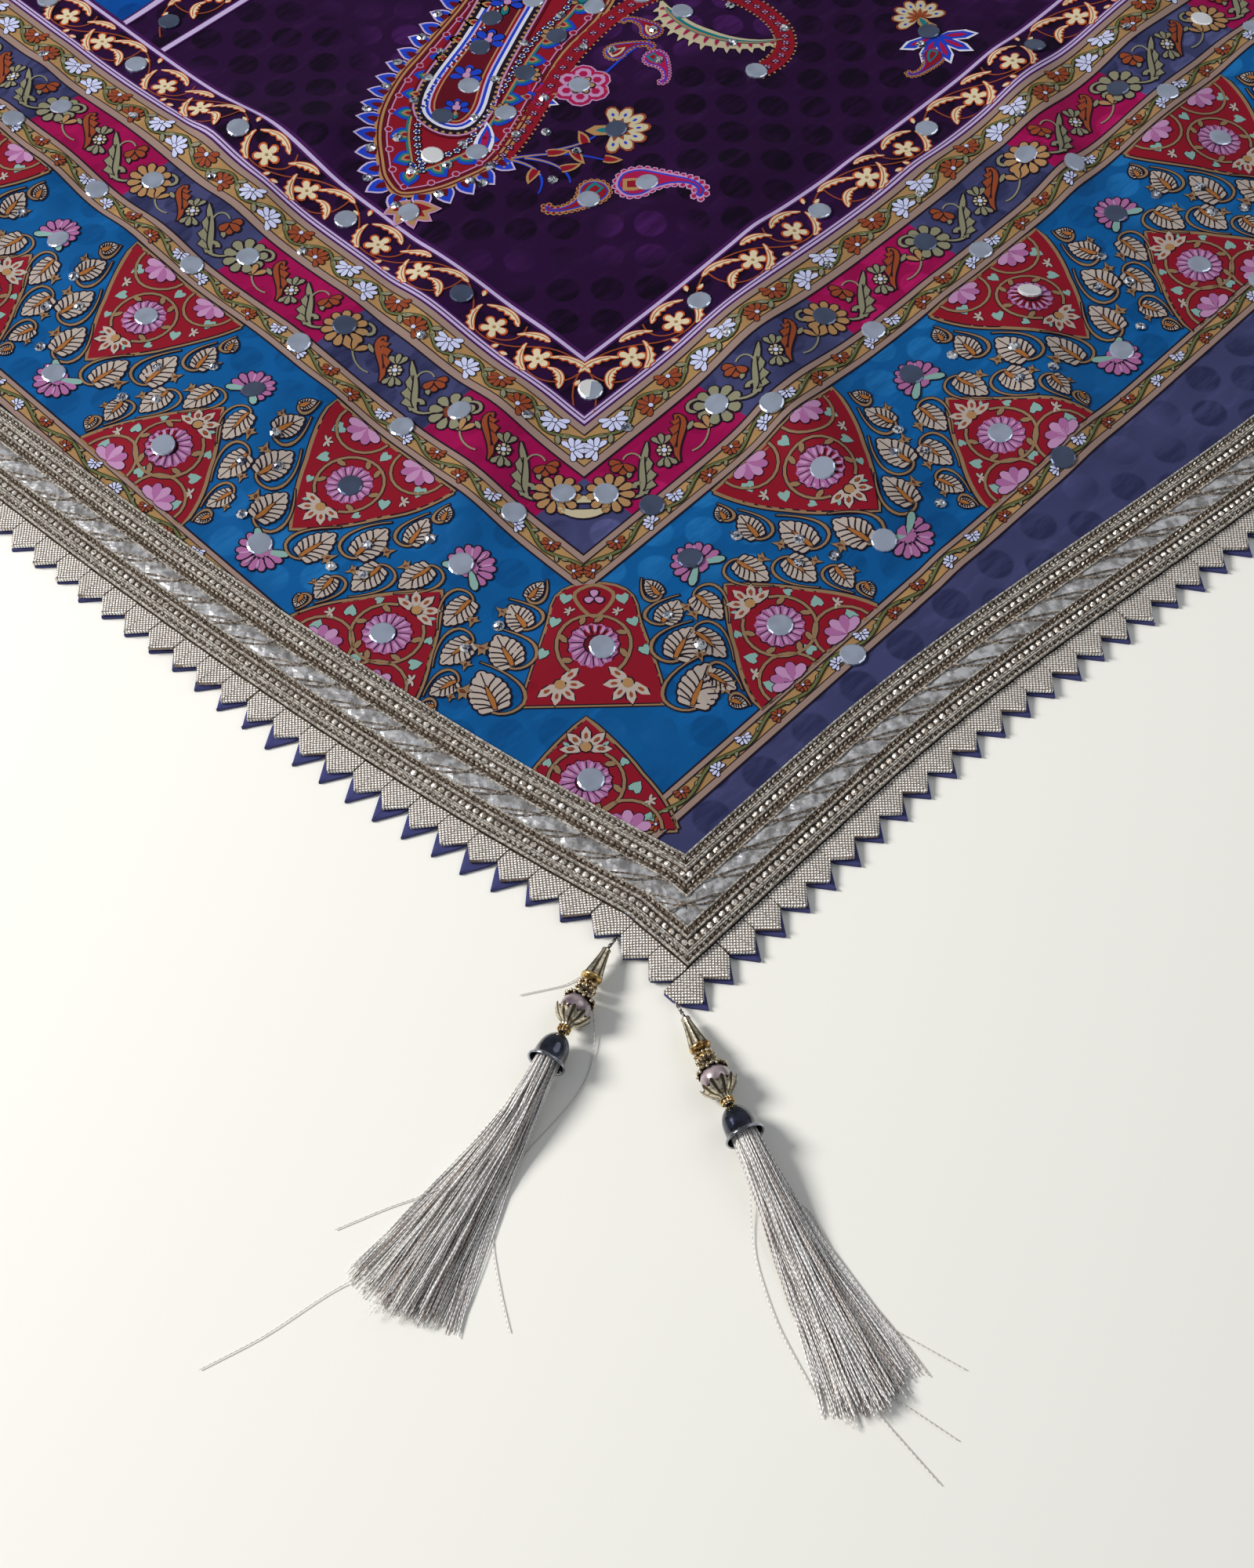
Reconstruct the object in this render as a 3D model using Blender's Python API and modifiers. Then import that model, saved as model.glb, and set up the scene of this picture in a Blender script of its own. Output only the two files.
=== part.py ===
"""A printed satin dupatta stole, folded in half and laid flat.

The upper layer shows the print, and a silver lace border with a toothed edge runs round its short
end and its two long sides. The lower layer is the same cloth turned under at the fold, so it shows
its toothed edge alone. A beaded tassel hangs from each of the cloth's four corners.

Metres, +Z up. The origin is on the underside, below the middle of the folded cloth. +X runs along
the short end, and +Y along the long sides towards the fold. Places on the cloth are given in
blocks of the printed border, as (u, v) from the border's first corner.
"""

import math
from collections import namedtuple

import bmesh
import bpy
import numpy as np
from mathutils import Matrix, Vector

# Print and cut, in blocks unless a name says otherwise
BLOCK = 0.046  # one magenta or slate block of the printed border, in metres
BLOCKS_ACROSS = 11
FOLD_AT = 19.5
MIDDLE = (5.5, 8.3)
BORDER = 2.3  # from the corner of the print to the lace's inner edge
BORDER_CUT_SHORT = 0.82  # how much less the border is on the left, beside the near corner
BORDER_RECOVERS = 3.6
NEAR_CORNER = -2.3
END_BORDER = 2.28
END_BORDER_GROWS = 0.38
END_GROWS_FROM = -0.5
END_GROWS_OVER = 4.5
LACE_WIDTH = 0.48
TOOTH_BASE = 0.09
TOOTH_DEPTH = 0.10
TOOTH_PITCH = 0.20
PEEK_LEFT = 0.07  # how far the lower layer's teeth stand out past the upper ones
PEEK_END = 0.035

# Thickness and height, metres
GAP = 0.0003
WALL = 0.0012
LACE_THICK = 0.0012
LACE_CROWN = 0.0005
FOLD_RISE = 0.0040
FOLD_RISE_FROM = 1.3  # blocks before the fold
EDGE_FADE = 1.0  # blocks over which the ripples die out beside the lace

# Grid of the cloth
NEAR_SPAN = 7.0
NEAR_CELLS_ACROSS = 15
FAR_CELLS_ACROSS = 7
NEAR_CELLS_ALONG = 16
FAR_CELLS_ALONG = 12
ARC_STEPS = 6

# The largest folds: soft ridges between two places on the cloth, in blocks, with heights in metres
Ridge = namedtuple("Ridge", "u0 v0 u1 v1 height width")
RIDGES = (
    Ridge(1.6, 0.3, 0.9, -1.8, 0.0030, 0.32),
    Ridge(3.6, 2.8, 1.2, -0.7, 0.0022, 0.45),
    Ridge(6.3, 0.9, 4.4, -1.2, 0.0032, 0.40),
    Ridge(-0.9, 5.2, 1.4, 3.1, 0.0032, 0.45),
    Ridge(-1.2, 2.6, 0.6, 1.6, 0.0024, 0.40),
    Ridge(2.2, 5.6, 4.8, 6.9, 0.0036, 0.55),
    Ridge(7.6, 3.6, 10.9, 2.4, 0.0034, 0.50),
    Ridge(8.6, 8.3, 11.6, 9.9, 0.0032, 0.50),
    Ridge(-0.8, 9.4, 2.6, 10.9, 0.0036, 0.55),
    Ridge(3.4, 12.6, 8.2, 11.2, 0.0034, 0.60),
    Ridge(-0.6, 15.4, 4.4, 14.4, 0.0034, 0.55),
    Ridge(7.2, 16.6, 11.4, 15.1, 0.0036, 0.55),
)
MOUND_HEIGHT = 0.0012

# Tassels: the side and layer of the corner each hangs from, and the way it lies in degrees
Tassel = namedtuple("Tassel", "name side layer heading fringe_heading")
TASSELS = (
    Tassel("near_upper", "left", "upper", -112.0, -111.3),
    Tassel("near_lower", "left", "lower", -159.8, -164.6),
    Tassel("side_upper", "right", "upper", -62.0, -66.0),
    Tassel("side_lower", "right", "lower", -17.0, -12.0),
)
THREAD_CLEARS = 0.00065  # from the tooth it is sewn to, to the middle of the thread
THREAD_RADIUS = 0.00035
THREAD_LENGTH = 0.0042
CONE_TOP_RADIUS = 0.0011
CONE_RADIUS = 0.0027
CONE_LENGTH = 0.0100
SPACER_RADIUS = 0.0020
SPACER_LENGTH = 0.0024
PEARL_RADIUS = 0.0038
CAP_THICK = 0.0008
CAP_ANGLE = 58
CUP_THICK = 0.0009
CUP_ANGLE = 66
NECK_RADIUS = 0.0017
NECK_LENGTH = 0.0024
BELL_TOP_RADIUS = 0.0027
BELL_RADIUS = 0.0049
BELL_LENGTH = 0.0085
BELL_THICK = 0.0007
BELL_AXIS_HEIGHT = 0.0053
CONE_AXIS_HEIGHT = 0.00365  # at the cone's narrow end, so that the cup and the bell lie just on the floor
FRINGE_LENGTH = 0.066
FRINGE_SPREAD = 0.024
FRINGE_COLUMNS = 8
FRINGE_ROWS = 4
FRINGE_HEAD_LENGTH = 0.0035
FRINGE_HEAD_RADIUS = 0.0032
LOCK_INSET = 0.00011  # at the root, where the locks spring from one head
LOCK_WIDTH = 0.0010
LOCK_SHARES = (0.30, 1.0)  # of the fringe's length, where a lock's sections lie
FRINGE_FLOOR = 0.0009
FRINGE_LAYER = 0.0013
TURN_STEPS = 12

MATERIALS = {
    "print_cloth": ((0.055, 0.02, 0.075), 0.55, 0.0),
    "slate_cloth": ((0.055, 0.06, 0.13), 0.6, 0.0),
    "silver_lace": ((0.45, 0.42, 0.36), 0.4, 0.6),
    "antique_metal": ((0.36, 0.32, 0.24), 0.35, 1.0),
    "pearl": ((0.42, 0.36, 0.38), 0.25, 0.0),
    "dark_chrome": ((0.16, 0.17, 0.19), 0.2, 1.0),
    "silver_thread": ((0.48, 0.46, 0.42), 0.5, 0.1),
}


def clear_scene():
    for old in list(bpy.data.objects):
        bpy.data.objects.remove(old, do_unlink=True)


def make_materials():
    made = {}
    for name, (colour, roughness, metallic) in MATERIALS.items():
        material = bpy.data.materials.new(name)
        material.use_nodes = True
        shader = material.node_tree.nodes["Principled BSDF"]
        shader.inputs["Base Color"].default_value = (*colour, 1.0)
        shader.inputs["Roughness"].default_value = roughness
        shader.inputs["Metallic"].default_value = metallic
        made[name] = material
    return made


def smoothstep(t):
    t = min(1.0, max(0.0, t))
    return t * t * (3 - 2 * t)


def left_lace(v):
    """u of the left lace's inner edge."""
    along = max(v, NEAR_CORNER) - NEAR_CORNER
    return BORDER_CUT_SHORT * math.exp(-along / BORDER_RECOVERS) - BORDER


def end_lace(u):
    """v of the inner edge of the short end's lace."""
    return -END_BORDER - END_BORDER_GROWS * smoothstep((u - END_GROWS_FROM) / END_GROWS_OVER)


def right_lace(v):
    """u of the right lace's inner edge."""
    return BLOCKS_ACROSS + BORDER


def left_cut(v):
    return left_lace(v) - LACE_WIDTH


def end_cut(u):
    return end_lace(u) - LACE_WIDTH


def right_cut(v):
    return right_lace(v) + LACE_WIDTH


def ridge_height(ridge, u, v):
    start = Vector((ridge.u0, ridge.v0))
    along = Vector((ridge.u1, ridge.v1)) - start
    here = Vector((u, v)) - start
    t = here.dot(along) / along.length_squared
    across = abs(here.x * along.y - here.y * along.x) / along.length
    ends = smoothstep(t / 0.3 + 0.5) * smoothstep((1 - t) / 0.3 + 0.5)
    return ridge.height * math.exp(-((across / ridge.width) ** 2)) * ends


def rise(u, v):
    """Height of the upper layer above its lowest place, in metres, from its ripples and its fold."""
    from_lace = min(u - left_lace(v), right_lace(v) - u, v - end_lace(u))
    ripples = sum(ridge_height(ridge, u, v) for ridge in RIDGES)
    mounds = (1 + math.sin(1.1 * u + 0.4 * v)) * (1 + math.cos(0.9 * v - 0.5 * u)) / 4
    before_fold = smoothstep((FOLD_AT - v) / FOLD_RISE_FROM - 0.2)
    faded = smoothstep(from_lace / EDGE_FADE) * before_fold
    turned = FOLD_RISE * (1 - smoothstep((FOLD_AT - v) / FOLD_RISE_FROM - 0.1))
    return (ripples + MOUND_HEIGHT * mounds) * faded + turned


def at(u, v, z):
    return Vector(((u - MIDDLE[0]) * BLOCK, (v - MIDDLE[1]) * BLOCK, z))


def middle_height(u, v):
    """Height of the middle of the upper layer's wall."""
    return WALL + GAP + WALL / 2 + rise(u, v)


def spaced(start, near_end, end, near_cells, far_cells):
    near = np.linspace(start, near_end, near_cells + 1)
    far = np.linspace(near_end, end, far_cells + 1)[1:]
    return np.concatenate([near, far])


FOLD_MIDDLE = WALL + GAP + WALL / 2 + FOLD_RISE
FOLD_RADIUS = (FOLD_MIDDLE - WALL / 2) / 2
FLAT_END = FOLD_AT - (FOLD_RADIUS + WALL / 2) / BLOCK
LACE_END = FLAT_END - 0.02
STATIONS_ACROSS = spaced(
    -BORDER - LACE_WIDTH, NEAR_SPAN, BLOCKS_ACROSS + BORDER + LACE_WIDTH, NEAR_CELLS_ACROSS, FAR_CELLS_ACROSS
)
STATIONS_ALONG = spaced(-END_BORDER - LACE_WIDTH, NEAR_SPAN, FLAT_END, NEAR_CELLS_ALONG, FAR_CELLS_ALONG)


def cloth_place(i, v_share):
    """(u, v) of a point on the cloth, at a column and a share of the way to the fold."""
    share = (STATIONS_ACROSS[i] - STATIONS_ACROSS[0]) / (STATIONS_ACROSS[-1] - STATIONS_ACROSS[0])
    start = end_cut(STATIONS_ACROSS[i])
    v = start + v_share * (FLAT_END - start)
    u = left_cut(v) + share * (right_cut(v) - left_cut(v))
    return u, v


def shares_along():
    return (STATIONS_ALONG - STATIONS_ALONG[0]) / (STATIONS_ALONG[-1] - STATIONS_ALONG[0])


def fold_arc(i, radius, steps):
    """Points of the half turn at the fold, from the top down to the floor side."""
    u, v = cloth_place(i, 1.0)
    centre = at(u, v, FOLD_MIDDLE - FOLD_RADIUS)
    points = []
    for k in range(1, steps + 1):
        angle = math.pi / 2 - math.pi * k / steps
        points.append(centre + Vector((0, radius * math.cos(angle), radius * math.sin(angle))))
    return points


def finish_object(name, mesh, material, smooth_angle=None):
    mesh.materials.append(material)
    if smooth_angle is not None:
        mesh.shade_smooth()
        mesh.set_sharp_from_angle(angle=math.radians(smooth_angle))
    obj = bpy.data.objects.new(name, mesh)
    PARTS.objects.link(obj)
    return obj


def split_face(bm, corners):
    """Two triangles, cut from the corner with the least x + y, so that facing layers are cut alike."""
    first = min(range(4), key=lambda k: corners[k].co.x + corners[k].co.y)
    turned_round = corners[first:] + corners[:first]
    bm.faces.new(turned_round[:3])
    bm.faces.new((turned_round[0], turned_round[2], turned_round[3]))


def loft(name, sections, material, smooth_angle=None):
    """A closed solid through unlike sections, each a closed ring of as many points."""
    bm = bmesh.new()
    rings = [[bm.verts.new(point) for point in section] for section in sections]
    count = len(rings[0])
    for near, far in zip(rings, rings[1:]):
        for k in range(count):
            after = (k + 1) % count
            split_face(bm, (near[k], near[after], far[after], far[k]))
    bm.faces.new(rings[0][::-1])
    bm.faces.new(rings[-1])
    bmesh.ops.recalc_face_normals(bm, faces=bm.faces)
    mesh = bpy.data.meshes.new(name)
    bm.to_mesh(mesh)
    bm.free()
    return finish_object(name, mesh, material, smooth_angle)


def make_upper_cloth(material):
    sections = []
    for i in range(len(STATIONS_ACROSS)):
        outer, inner = [], []
        for share in shares_along():
            u, v = cloth_place(i, share)
            middle = middle_height(u, v)
            outer.append(at(u, v, middle + WALL / 2))
            inner.append(at(u, v, middle - WALL / 2))
        outer += fold_arc(i, FOLD_RADIUS + WALL / 2, ARC_STEPS)
        inner += fold_arc(i, FOLD_RADIUS - WALL / 2, ARC_STEPS)
        sections.append(outer + inner[::-1])
    return loft("cloth_upper", sections, material, 40)


def make_lower_cloth(material):
    """The hidden layer: its top follows the upper layer, and its underside is one flat face."""
    columns = range(len(STATIONS_ACROSS))
    bm = bmesh.new()
    tops, floors = [], []
    for i in columns:
        places = [cloth_place(i, share) for share in shares_along()]
        top = [at(u, v, middle_height(u, v) - WALL / 2 - GAP) for u, v in places]
        top += fold_arc(i, FOLD_RADIUS - WALL / 2 - GAP, ARC_STEPS)
        u, v = places[-1]
        places[-1] = (u, v - GAP / BLOCK)
        top.append(at(*places[-1], WALL + GAP))
        tops.append([bm.verts.new(point) for point in top])
        on_rim = places if i in (columns[0], columns[-1]) else (places[0], places[-1])
        floors.append([bm.verts.new(at(*place, 0)) for place in on_rim])
    for near, far in zip(tops, tops[1:]):
        for k in range(len(near) - 1):
            split_face(bm, (near[k], near[k + 1], far[k + 1], far[k]))
    for i in columns[:-1]:
        bm.faces.new((tops[i][0], tops[i + 1][0], floors[i + 1][0], floors[i][0]))
        bm.faces.new((floors[i][-1], floors[i + 1][-1], tops[i + 1][-1], tops[i][-1]))
    for top, floor in ((tops[0], floors[0]), (tops[-1], floors[-1])):
        last = len(floor) - 1
        for k in range(last - 1):
            bm.faces.new((top[k], top[k + 1], floor[k + 1], floor[k]))
        bm.faces.new(top[last - 1 :] + [floor[last], floor[last - 1]])
    rim = floors[0] + [floor[-1] for floor in floors[1:-1]]
    rim += floors[-1][::-1] + [floor[0] for floor in floors[-2:0:-1]]
    bm.faces.new(rim)
    bmesh.ops.recalc_face_normals(bm, faces=bm.faces)
    mesh = bpy.data.meshes.new("cloth_lower")
    bm.to_mesh(mesh)
    bm.free()
    return finish_object("cloth_lower", mesh, material, 40)


def side_places(i):
    """The cloth's own points along one of its long sides, from the short end to the fold."""
    places = [cloth_place(i, share) for share in shares_along()]
    places[-1] = (places[-1][0], LACE_END)
    return places


def end_places():
    return [cloth_place(i, 0.0) for i in range(len(STATIONS_ACROSS))]


def lace_section(inner, outer):
    """A ring across the lace, with its middle a little crowned."""
    lower, upper = [], []
    for share in (0.0, 0.5, 1.0):
        u = inner[0] + share * (outer[0] - inner[0])
        v = inner[1] + share * (outer[1] - inner[1])
        floor = middle_height(u, v) + WALL / 2 + GAP
        crown = LACE_CROWN * (1 - (2 * share - 1) ** 2)
        lower.append(at(u, v, floor))
        upper.append(at(u, v, floor + LACE_THICK + crown))
    return upper + lower[::-1]


def make_side_lace(name, i, inward, material):
    """Lace on one long side, moved in from the cloth's edge and mitred at the short end."""
    places = side_places(i)
    mitre = 2 * GAP / BLOCK
    sections = []
    for u, v in places:
        left_to_fold = (v - places[0][1]) / (LACE_END - places[0][1])
        v_inner = v + (LACE_WIDTH + mitre) * (1 - left_to_fold)
        v_outer = v + mitre * (1 - left_to_fold)
        sections.append(lace_section((u + inward * LACE_WIDTH, v_inner), (u, v_outer)))
    return loft(name, sections, material)


def make_end_lace(material):
    places = end_places()
    first, last = places[0][0], places[-1][0]
    sections = []
    for u, v in places:
        from_left = (u - first) / (last - first)
        u_inner = u + LACE_WIDTH * (1 - 2 * from_left)
        sections.append(lace_section((u_inner, v + LACE_WIDTH), (u, v)))
    return loft("lace_end", sections, material)


def toothed_strip(name, places, outward, bottom, material, peek=None):
    """A strip with a row of pointed teeth along a cloth edge, made from the edge's own points.

    outward is the way out in (u, v), bottom(u, v) the height of the underside, and peek(u, v) how
    much further out the teeth stand. The faces above and below span the teeth between two points.
    """
    bm = bmesh.new()
    out_u, out_v = outward

    def pair(place, out):
        u, v = place
        if peek is not None and out > 0:
            out += peek(u, v)
        out += GAP / BLOCK
        u, v = u + out * out_u, v + out * out_v
        z = bottom(u, v)
        return bm.verts.new(at(u, v, z)), bm.verts.new(at(u, v, z + WALL))

    def wall(first, second):
        bm.faces.new((first[0], second[0], second[1], first[1]))

    inner = pair(places[0], 0)
    root = pair(places[0], TOOTH_BASE)
    wall(inner, root)
    for start, end in zip(places, places[1:]):
        step = Vector(end) - Vector(start)
        teeth = max(1, round(step.length / TOOTH_PITCH))
        outline = [root]
        for k in range(teeth):
            outline.append(pair(Vector(start) + step * (k + 0.5) / teeth, TOOTH_BASE + TOOTH_DEPTH))
            outline.append(pair(Vector(start) + step * (k + 1) / teeth, TOOTH_BASE))
        next_inner = pair(end, 0)
        ring = [inner, *outline, next_inner]
        bm.faces.new([point[0] for point in ring])
        bm.faces.new([point[1] for point in ring[::-1]])
        for first, second in zip(outline, outline[1:]):
            wall(first, second)
        wall(next_inner, inner)
        inner, root = next_inner, outline[-1]
    wall(root, inner)
    bmesh.ops.recalc_face_normals(bm, faces=bm.faces)
    mesh = bpy.data.meshes.new(name)
    bm.to_mesh(mesh)
    bm.free()
    return finish_object(name, mesh, material)


def make_teeth(upper_material, lower_material):
    """The rows of teeth: silver ones on the upper layer, slate ones on the lower."""
    corner = TOOTH_BASE + TOOTH_DEPTH
    end_row = end_places()
    end_row.insert(0, (end_row[0][0] - corner, end_row[0][1]))
    end_row.append((end_row[-1][0] + corner, end_row[-1][1]))

    def upper_bottom(u, v):
        return middle_height(u, v) - WALL / 2

    def lower_bottom(u, v):
        return 0.0

    def left_peek(u, v):
        return PEEK_LEFT * smoothstep((v + 2.4) / 0.8) * smoothstep((0.9 - v) / 1.2)

    def end_peek(u, v):
        return PEEK_END

    rows = (
        ("left", side_places(0), (-1, 0), left_peek),
        ("right", side_places(-1), (1, 0), None),
        ("end", end_row, (0, -1), end_peek),
    )
    for side, places, outward, peek in rows:
        toothed_strip("teeth_" + side, places, outward, upper_bottom, upper_material)
        toothed_strip("under_teeth_" + side, places, outward, lower_bottom, lower_material, peek)


def turned(name, profile, place, material):
    """A turned bead. The profile is (radius, distance down the tassel) down its outer side."""
    mesh = bpy.data.meshes.new(name)
    points = [(radius, 0, -down) for radius, down in profile]
    edges = [(k, k + 1) for k in range(len(points) - 1)]
    mesh.from_pydata(points, edges, [])
    obj = finish_object(name, mesh, material)
    obj.matrix_world = place
    screw = obj.modifiers.new("Turn", "SCREW")
    screw.steps = TURN_STEPS
    screw.render_steps = TURN_STEPS
    screw.use_merge_vertices = True
    screw.merge_threshold = 0.00001
    screw.use_smooth_shade = True
    return obj


def arc_profile(centre, radius, start_degrees, end_degrees, steps):
    """Points on a ball's profile, with 0 degrees at its top end."""
    points = []
    for k in range(steps + 1):
        angle = math.radians(start_degrees + (end_degrees - start_degrees) * k / steps)
        points.append((radius * math.sin(angle), centre - radius * math.cos(angle)))
    return points


def tassel_start(tassel):
    """Where the thread leaves the toothed edge: the upper corner, or a notch of the lower row."""
    out_u = -1 if tassel.side == "left" else 1
    places = side_places(0 if tassel.side == "left" else -1)
    clear = THREAD_CLEARS / BLOCK
    if tassel.layer == "upper":
        u = places[0][0] + out_u * (TOOTH_BASE + TOOTH_DEPTH + clear / 2)
        v = places[0][1] - GAP / BLOCK - TOOTH_BASE - clear
        return at(u, v, WALL + GAP + WALL / 2)
    first, second = Vector(places[0]), Vector(places[1])
    teeth = max(1, round((second - first).length / TOOTH_PITCH))
    notch = first.lerp(second, (teeth - 1) / teeth)
    return at(notch.x + out_u * (GAP / BLOCK + TOOTH_BASE + 1.5 * clear), notch.y, WALL / 2)


def tassel_frame(tassel):
    """The bead stack's place: its Z points back up the tassel, and its X lies level."""
    start = tassel_start(tassel)
    heading = math.radians(tassel.heading)
    climb = (BELL_AXIS_HEIGHT - CONE_AXIS_HEIGHT) / (BELL_RIM - CONE_START)
    level = math.sqrt(1 - climb**2)
    start.z = CONE_AXIS_HEIGHT - climb * CONE_START
    down = Vector((math.cos(heading) * level, math.sin(heading) * level, climb))
    z_axis = -down
    x_axis = Vector((0, 0, 1)).cross(z_axis).normalized()
    y_axis = z_axis.cross(x_axis)
    turn = Matrix((x_axis, y_axis, z_axis)).transposed()
    return Matrix.Translation(start) @ turn.to_4x4(), down


# Distances down the tassel from its start, worked out from the sizes of its beads
CONE_START = THREAD_LENGTH + GAP
SPACER_START = CONE_START + CONE_LENGTH + GAP
CAP_START = SPACER_START + SPACER_LENGTH + GAP
PEARL_CENTRE = CAP_START + CAP_THICK + GAP + PEARL_RADIUS
CUP_BASE = PEARL_CENTRE + PEARL_RADIUS + GAP + CUP_THICK
CUP_END = CUP_BASE + NECK_LENGTH
BELL_START = CUP_END + GAP
BELL_RIM = BELL_START + BELL_LENGTH


def make_beads(tassel, place, materials):
    metal = materials["antique_metal"]
    inside = PEARL_RADIUS + GAP
    turned(
        "cone_" + tassel.name,
        [
            (0, CONE_START),
            (CONE_TOP_RADIUS, CONE_START),
            (CONE_RADIUS, CONE_START + 0.9 * CONE_LENGTH),
            (CONE_RADIUS * 0.85, CONE_START + CONE_LENGTH),
            (0, CONE_START + CONE_LENGTH),
        ],
        place,
        metal,
    )
    middle = SPACER_START + SPACER_LENGTH / 2
    turned(
        "spacer_" + tassel.name,
        [
            (0, SPACER_START),
            (SPACER_RADIUS * 0.7, SPACER_START),
            (SPACER_RADIUS, middle),
            (SPACER_RADIUS * 0.7, SPACER_START + SPACER_LENGTH),
            (0, SPACER_START + SPACER_LENGTH),
        ],
        place,
        metal,
    )
    cap_outer = arc_profile(PEARL_CENTRE, inside + CAP_THICK, 0, CAP_ANGLE, 3)
    cap_inner = arc_profile(PEARL_CENTRE, inside, CAP_ANGLE, 0, 3)
    turned("cap_" + tassel.name, cap_outer + cap_inner, place, metal)
    ball = arc_profile(PEARL_CENTRE, PEARL_RADIUS, 0, 180, 7)
    turned("pearl_" + tassel.name, ball, place, materials["pearl"])
    cup_outer = arc_profile(PEARL_CENTRE, inside + CUP_THICK, 180 - CUP_ANGLE, 156, 3)
    cup_inner = arc_profile(PEARL_CENTRE, inside, 180, 180 - CUP_ANGLE, 3)
    neck = [(NECK_RADIUS, CUP_BASE), (NECK_RADIUS, CUP_END), (0, CUP_END)]
    turned("cup_" + tassel.name, cup_inner + cup_outer + neck, place, metal)


def make_bell(tassel, place, material):
    profile = [
        (0, BELL_START),
        (BELL_TOP_RADIUS * 0.75, BELL_START),
        (BELL_TOP_RADIUS * 1.2, BELL_START + 0.14 * BELL_LENGTH),
        (BELL_RADIUS * 0.86, BELL_START + 0.5 * BELL_LENGTH),
        (BELL_RADIUS, BELL_RIM),
        (BELL_RADIUS - BELL_THICK, BELL_RIM),
        (BELL_RADIUS * 0.86 - BELL_THICK, BELL_START + 0.5 * BELL_LENGTH),
        (BELL_RADIUS * 0.80 - BELL_THICK, BELL_START + 0.36 * BELL_LENGTH),
        (0, BELL_START + 0.36 * BELL_LENGTH),
    ]
    return turned("bell_" + tassel.name, profile, place, material)


def make_thread(tassel, place, material):
    curve = bpy.data.curves.new("thread_" + tassel.name, "CURVE")
    curve.dimensions = "3D"
    curve.bevel_depth = THREAD_RADIUS
    curve.bevel_resolution = 1
    curve.use_fill_caps = True
    spline = curve.splines.new("POLY")
    sewn_at = place.inverted() @ tassel_start(tassel)
    cone_end = Vector((0, 0, -THREAD_LENGTH))
    sideways = (0.0, 0.35, 0.2, 0.0)
    spline.points.add(len(sideways) - 1)
    for k, bow in enumerate(sideways):
        point = sewn_at.lerp(cone_end, k / (len(sideways) - 1))
        spline.points[k].co = (point.x + bow * THREAD_RADIUS, point.y, point.z, 1)
    curve.materials.append(material)
    obj = bpy.data.objects.new("thread_" + tassel.name, curve)
    obj.matrix_world = place
    PARTS.objects.link(obj)
    return obj


def fringe_point(tassel, origin, column, row, share):
    """Middle of a lock at a share of the fringe's length, where it spreads and sinks to the floor."""
    heading = math.radians(tassel.heading)
    turned_to = math.radians(tassel.fringe_heading)
    along = share * FRINGE_LENGTH
    bend = smoothstep(share * 2)
    ahead = Vector((math.cos(heading), math.sin(heading), 0)) * along * (1 - bend)
    ahead += Vector((math.cos(turned_to), math.sin(turned_to), 0)) * along * bend
    side = Vector((-math.sin(turned_to), math.cos(turned_to), 0))
    across = (column + 0.5) / FRINGE_COLUMNS - 0.5
    level = (row + 0.5) / FRINGE_ROWS - 0.5
    root_across = across * 2 * FRINGE_HEAD_RADIUS * math.sqrt(1 - (1.7 * level) ** 2)
    root_up = level * 2 * FRINGE_HEAD_RADIUS
    open_out = share**1.2
    stagger = 0.4 * (row % 2 - 0.5) / FRINGE_COLUMNS
    spread = (across + stagger * open_out) * FRINGE_SPREAD
    sink = smoothstep(share * 2.6)
    up_root = origin.z + root_up
    up_end = FRINGE_FLOOR + row * FRINGE_LAYER
    flat = Vector((origin.x, origin.y, 0)) + ahead
    flat += side * (root_across * (1 - open_out) + spread * open_out)
    return flat + Vector((0, 0, up_root * (1 - sink) + up_end * sink))


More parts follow.
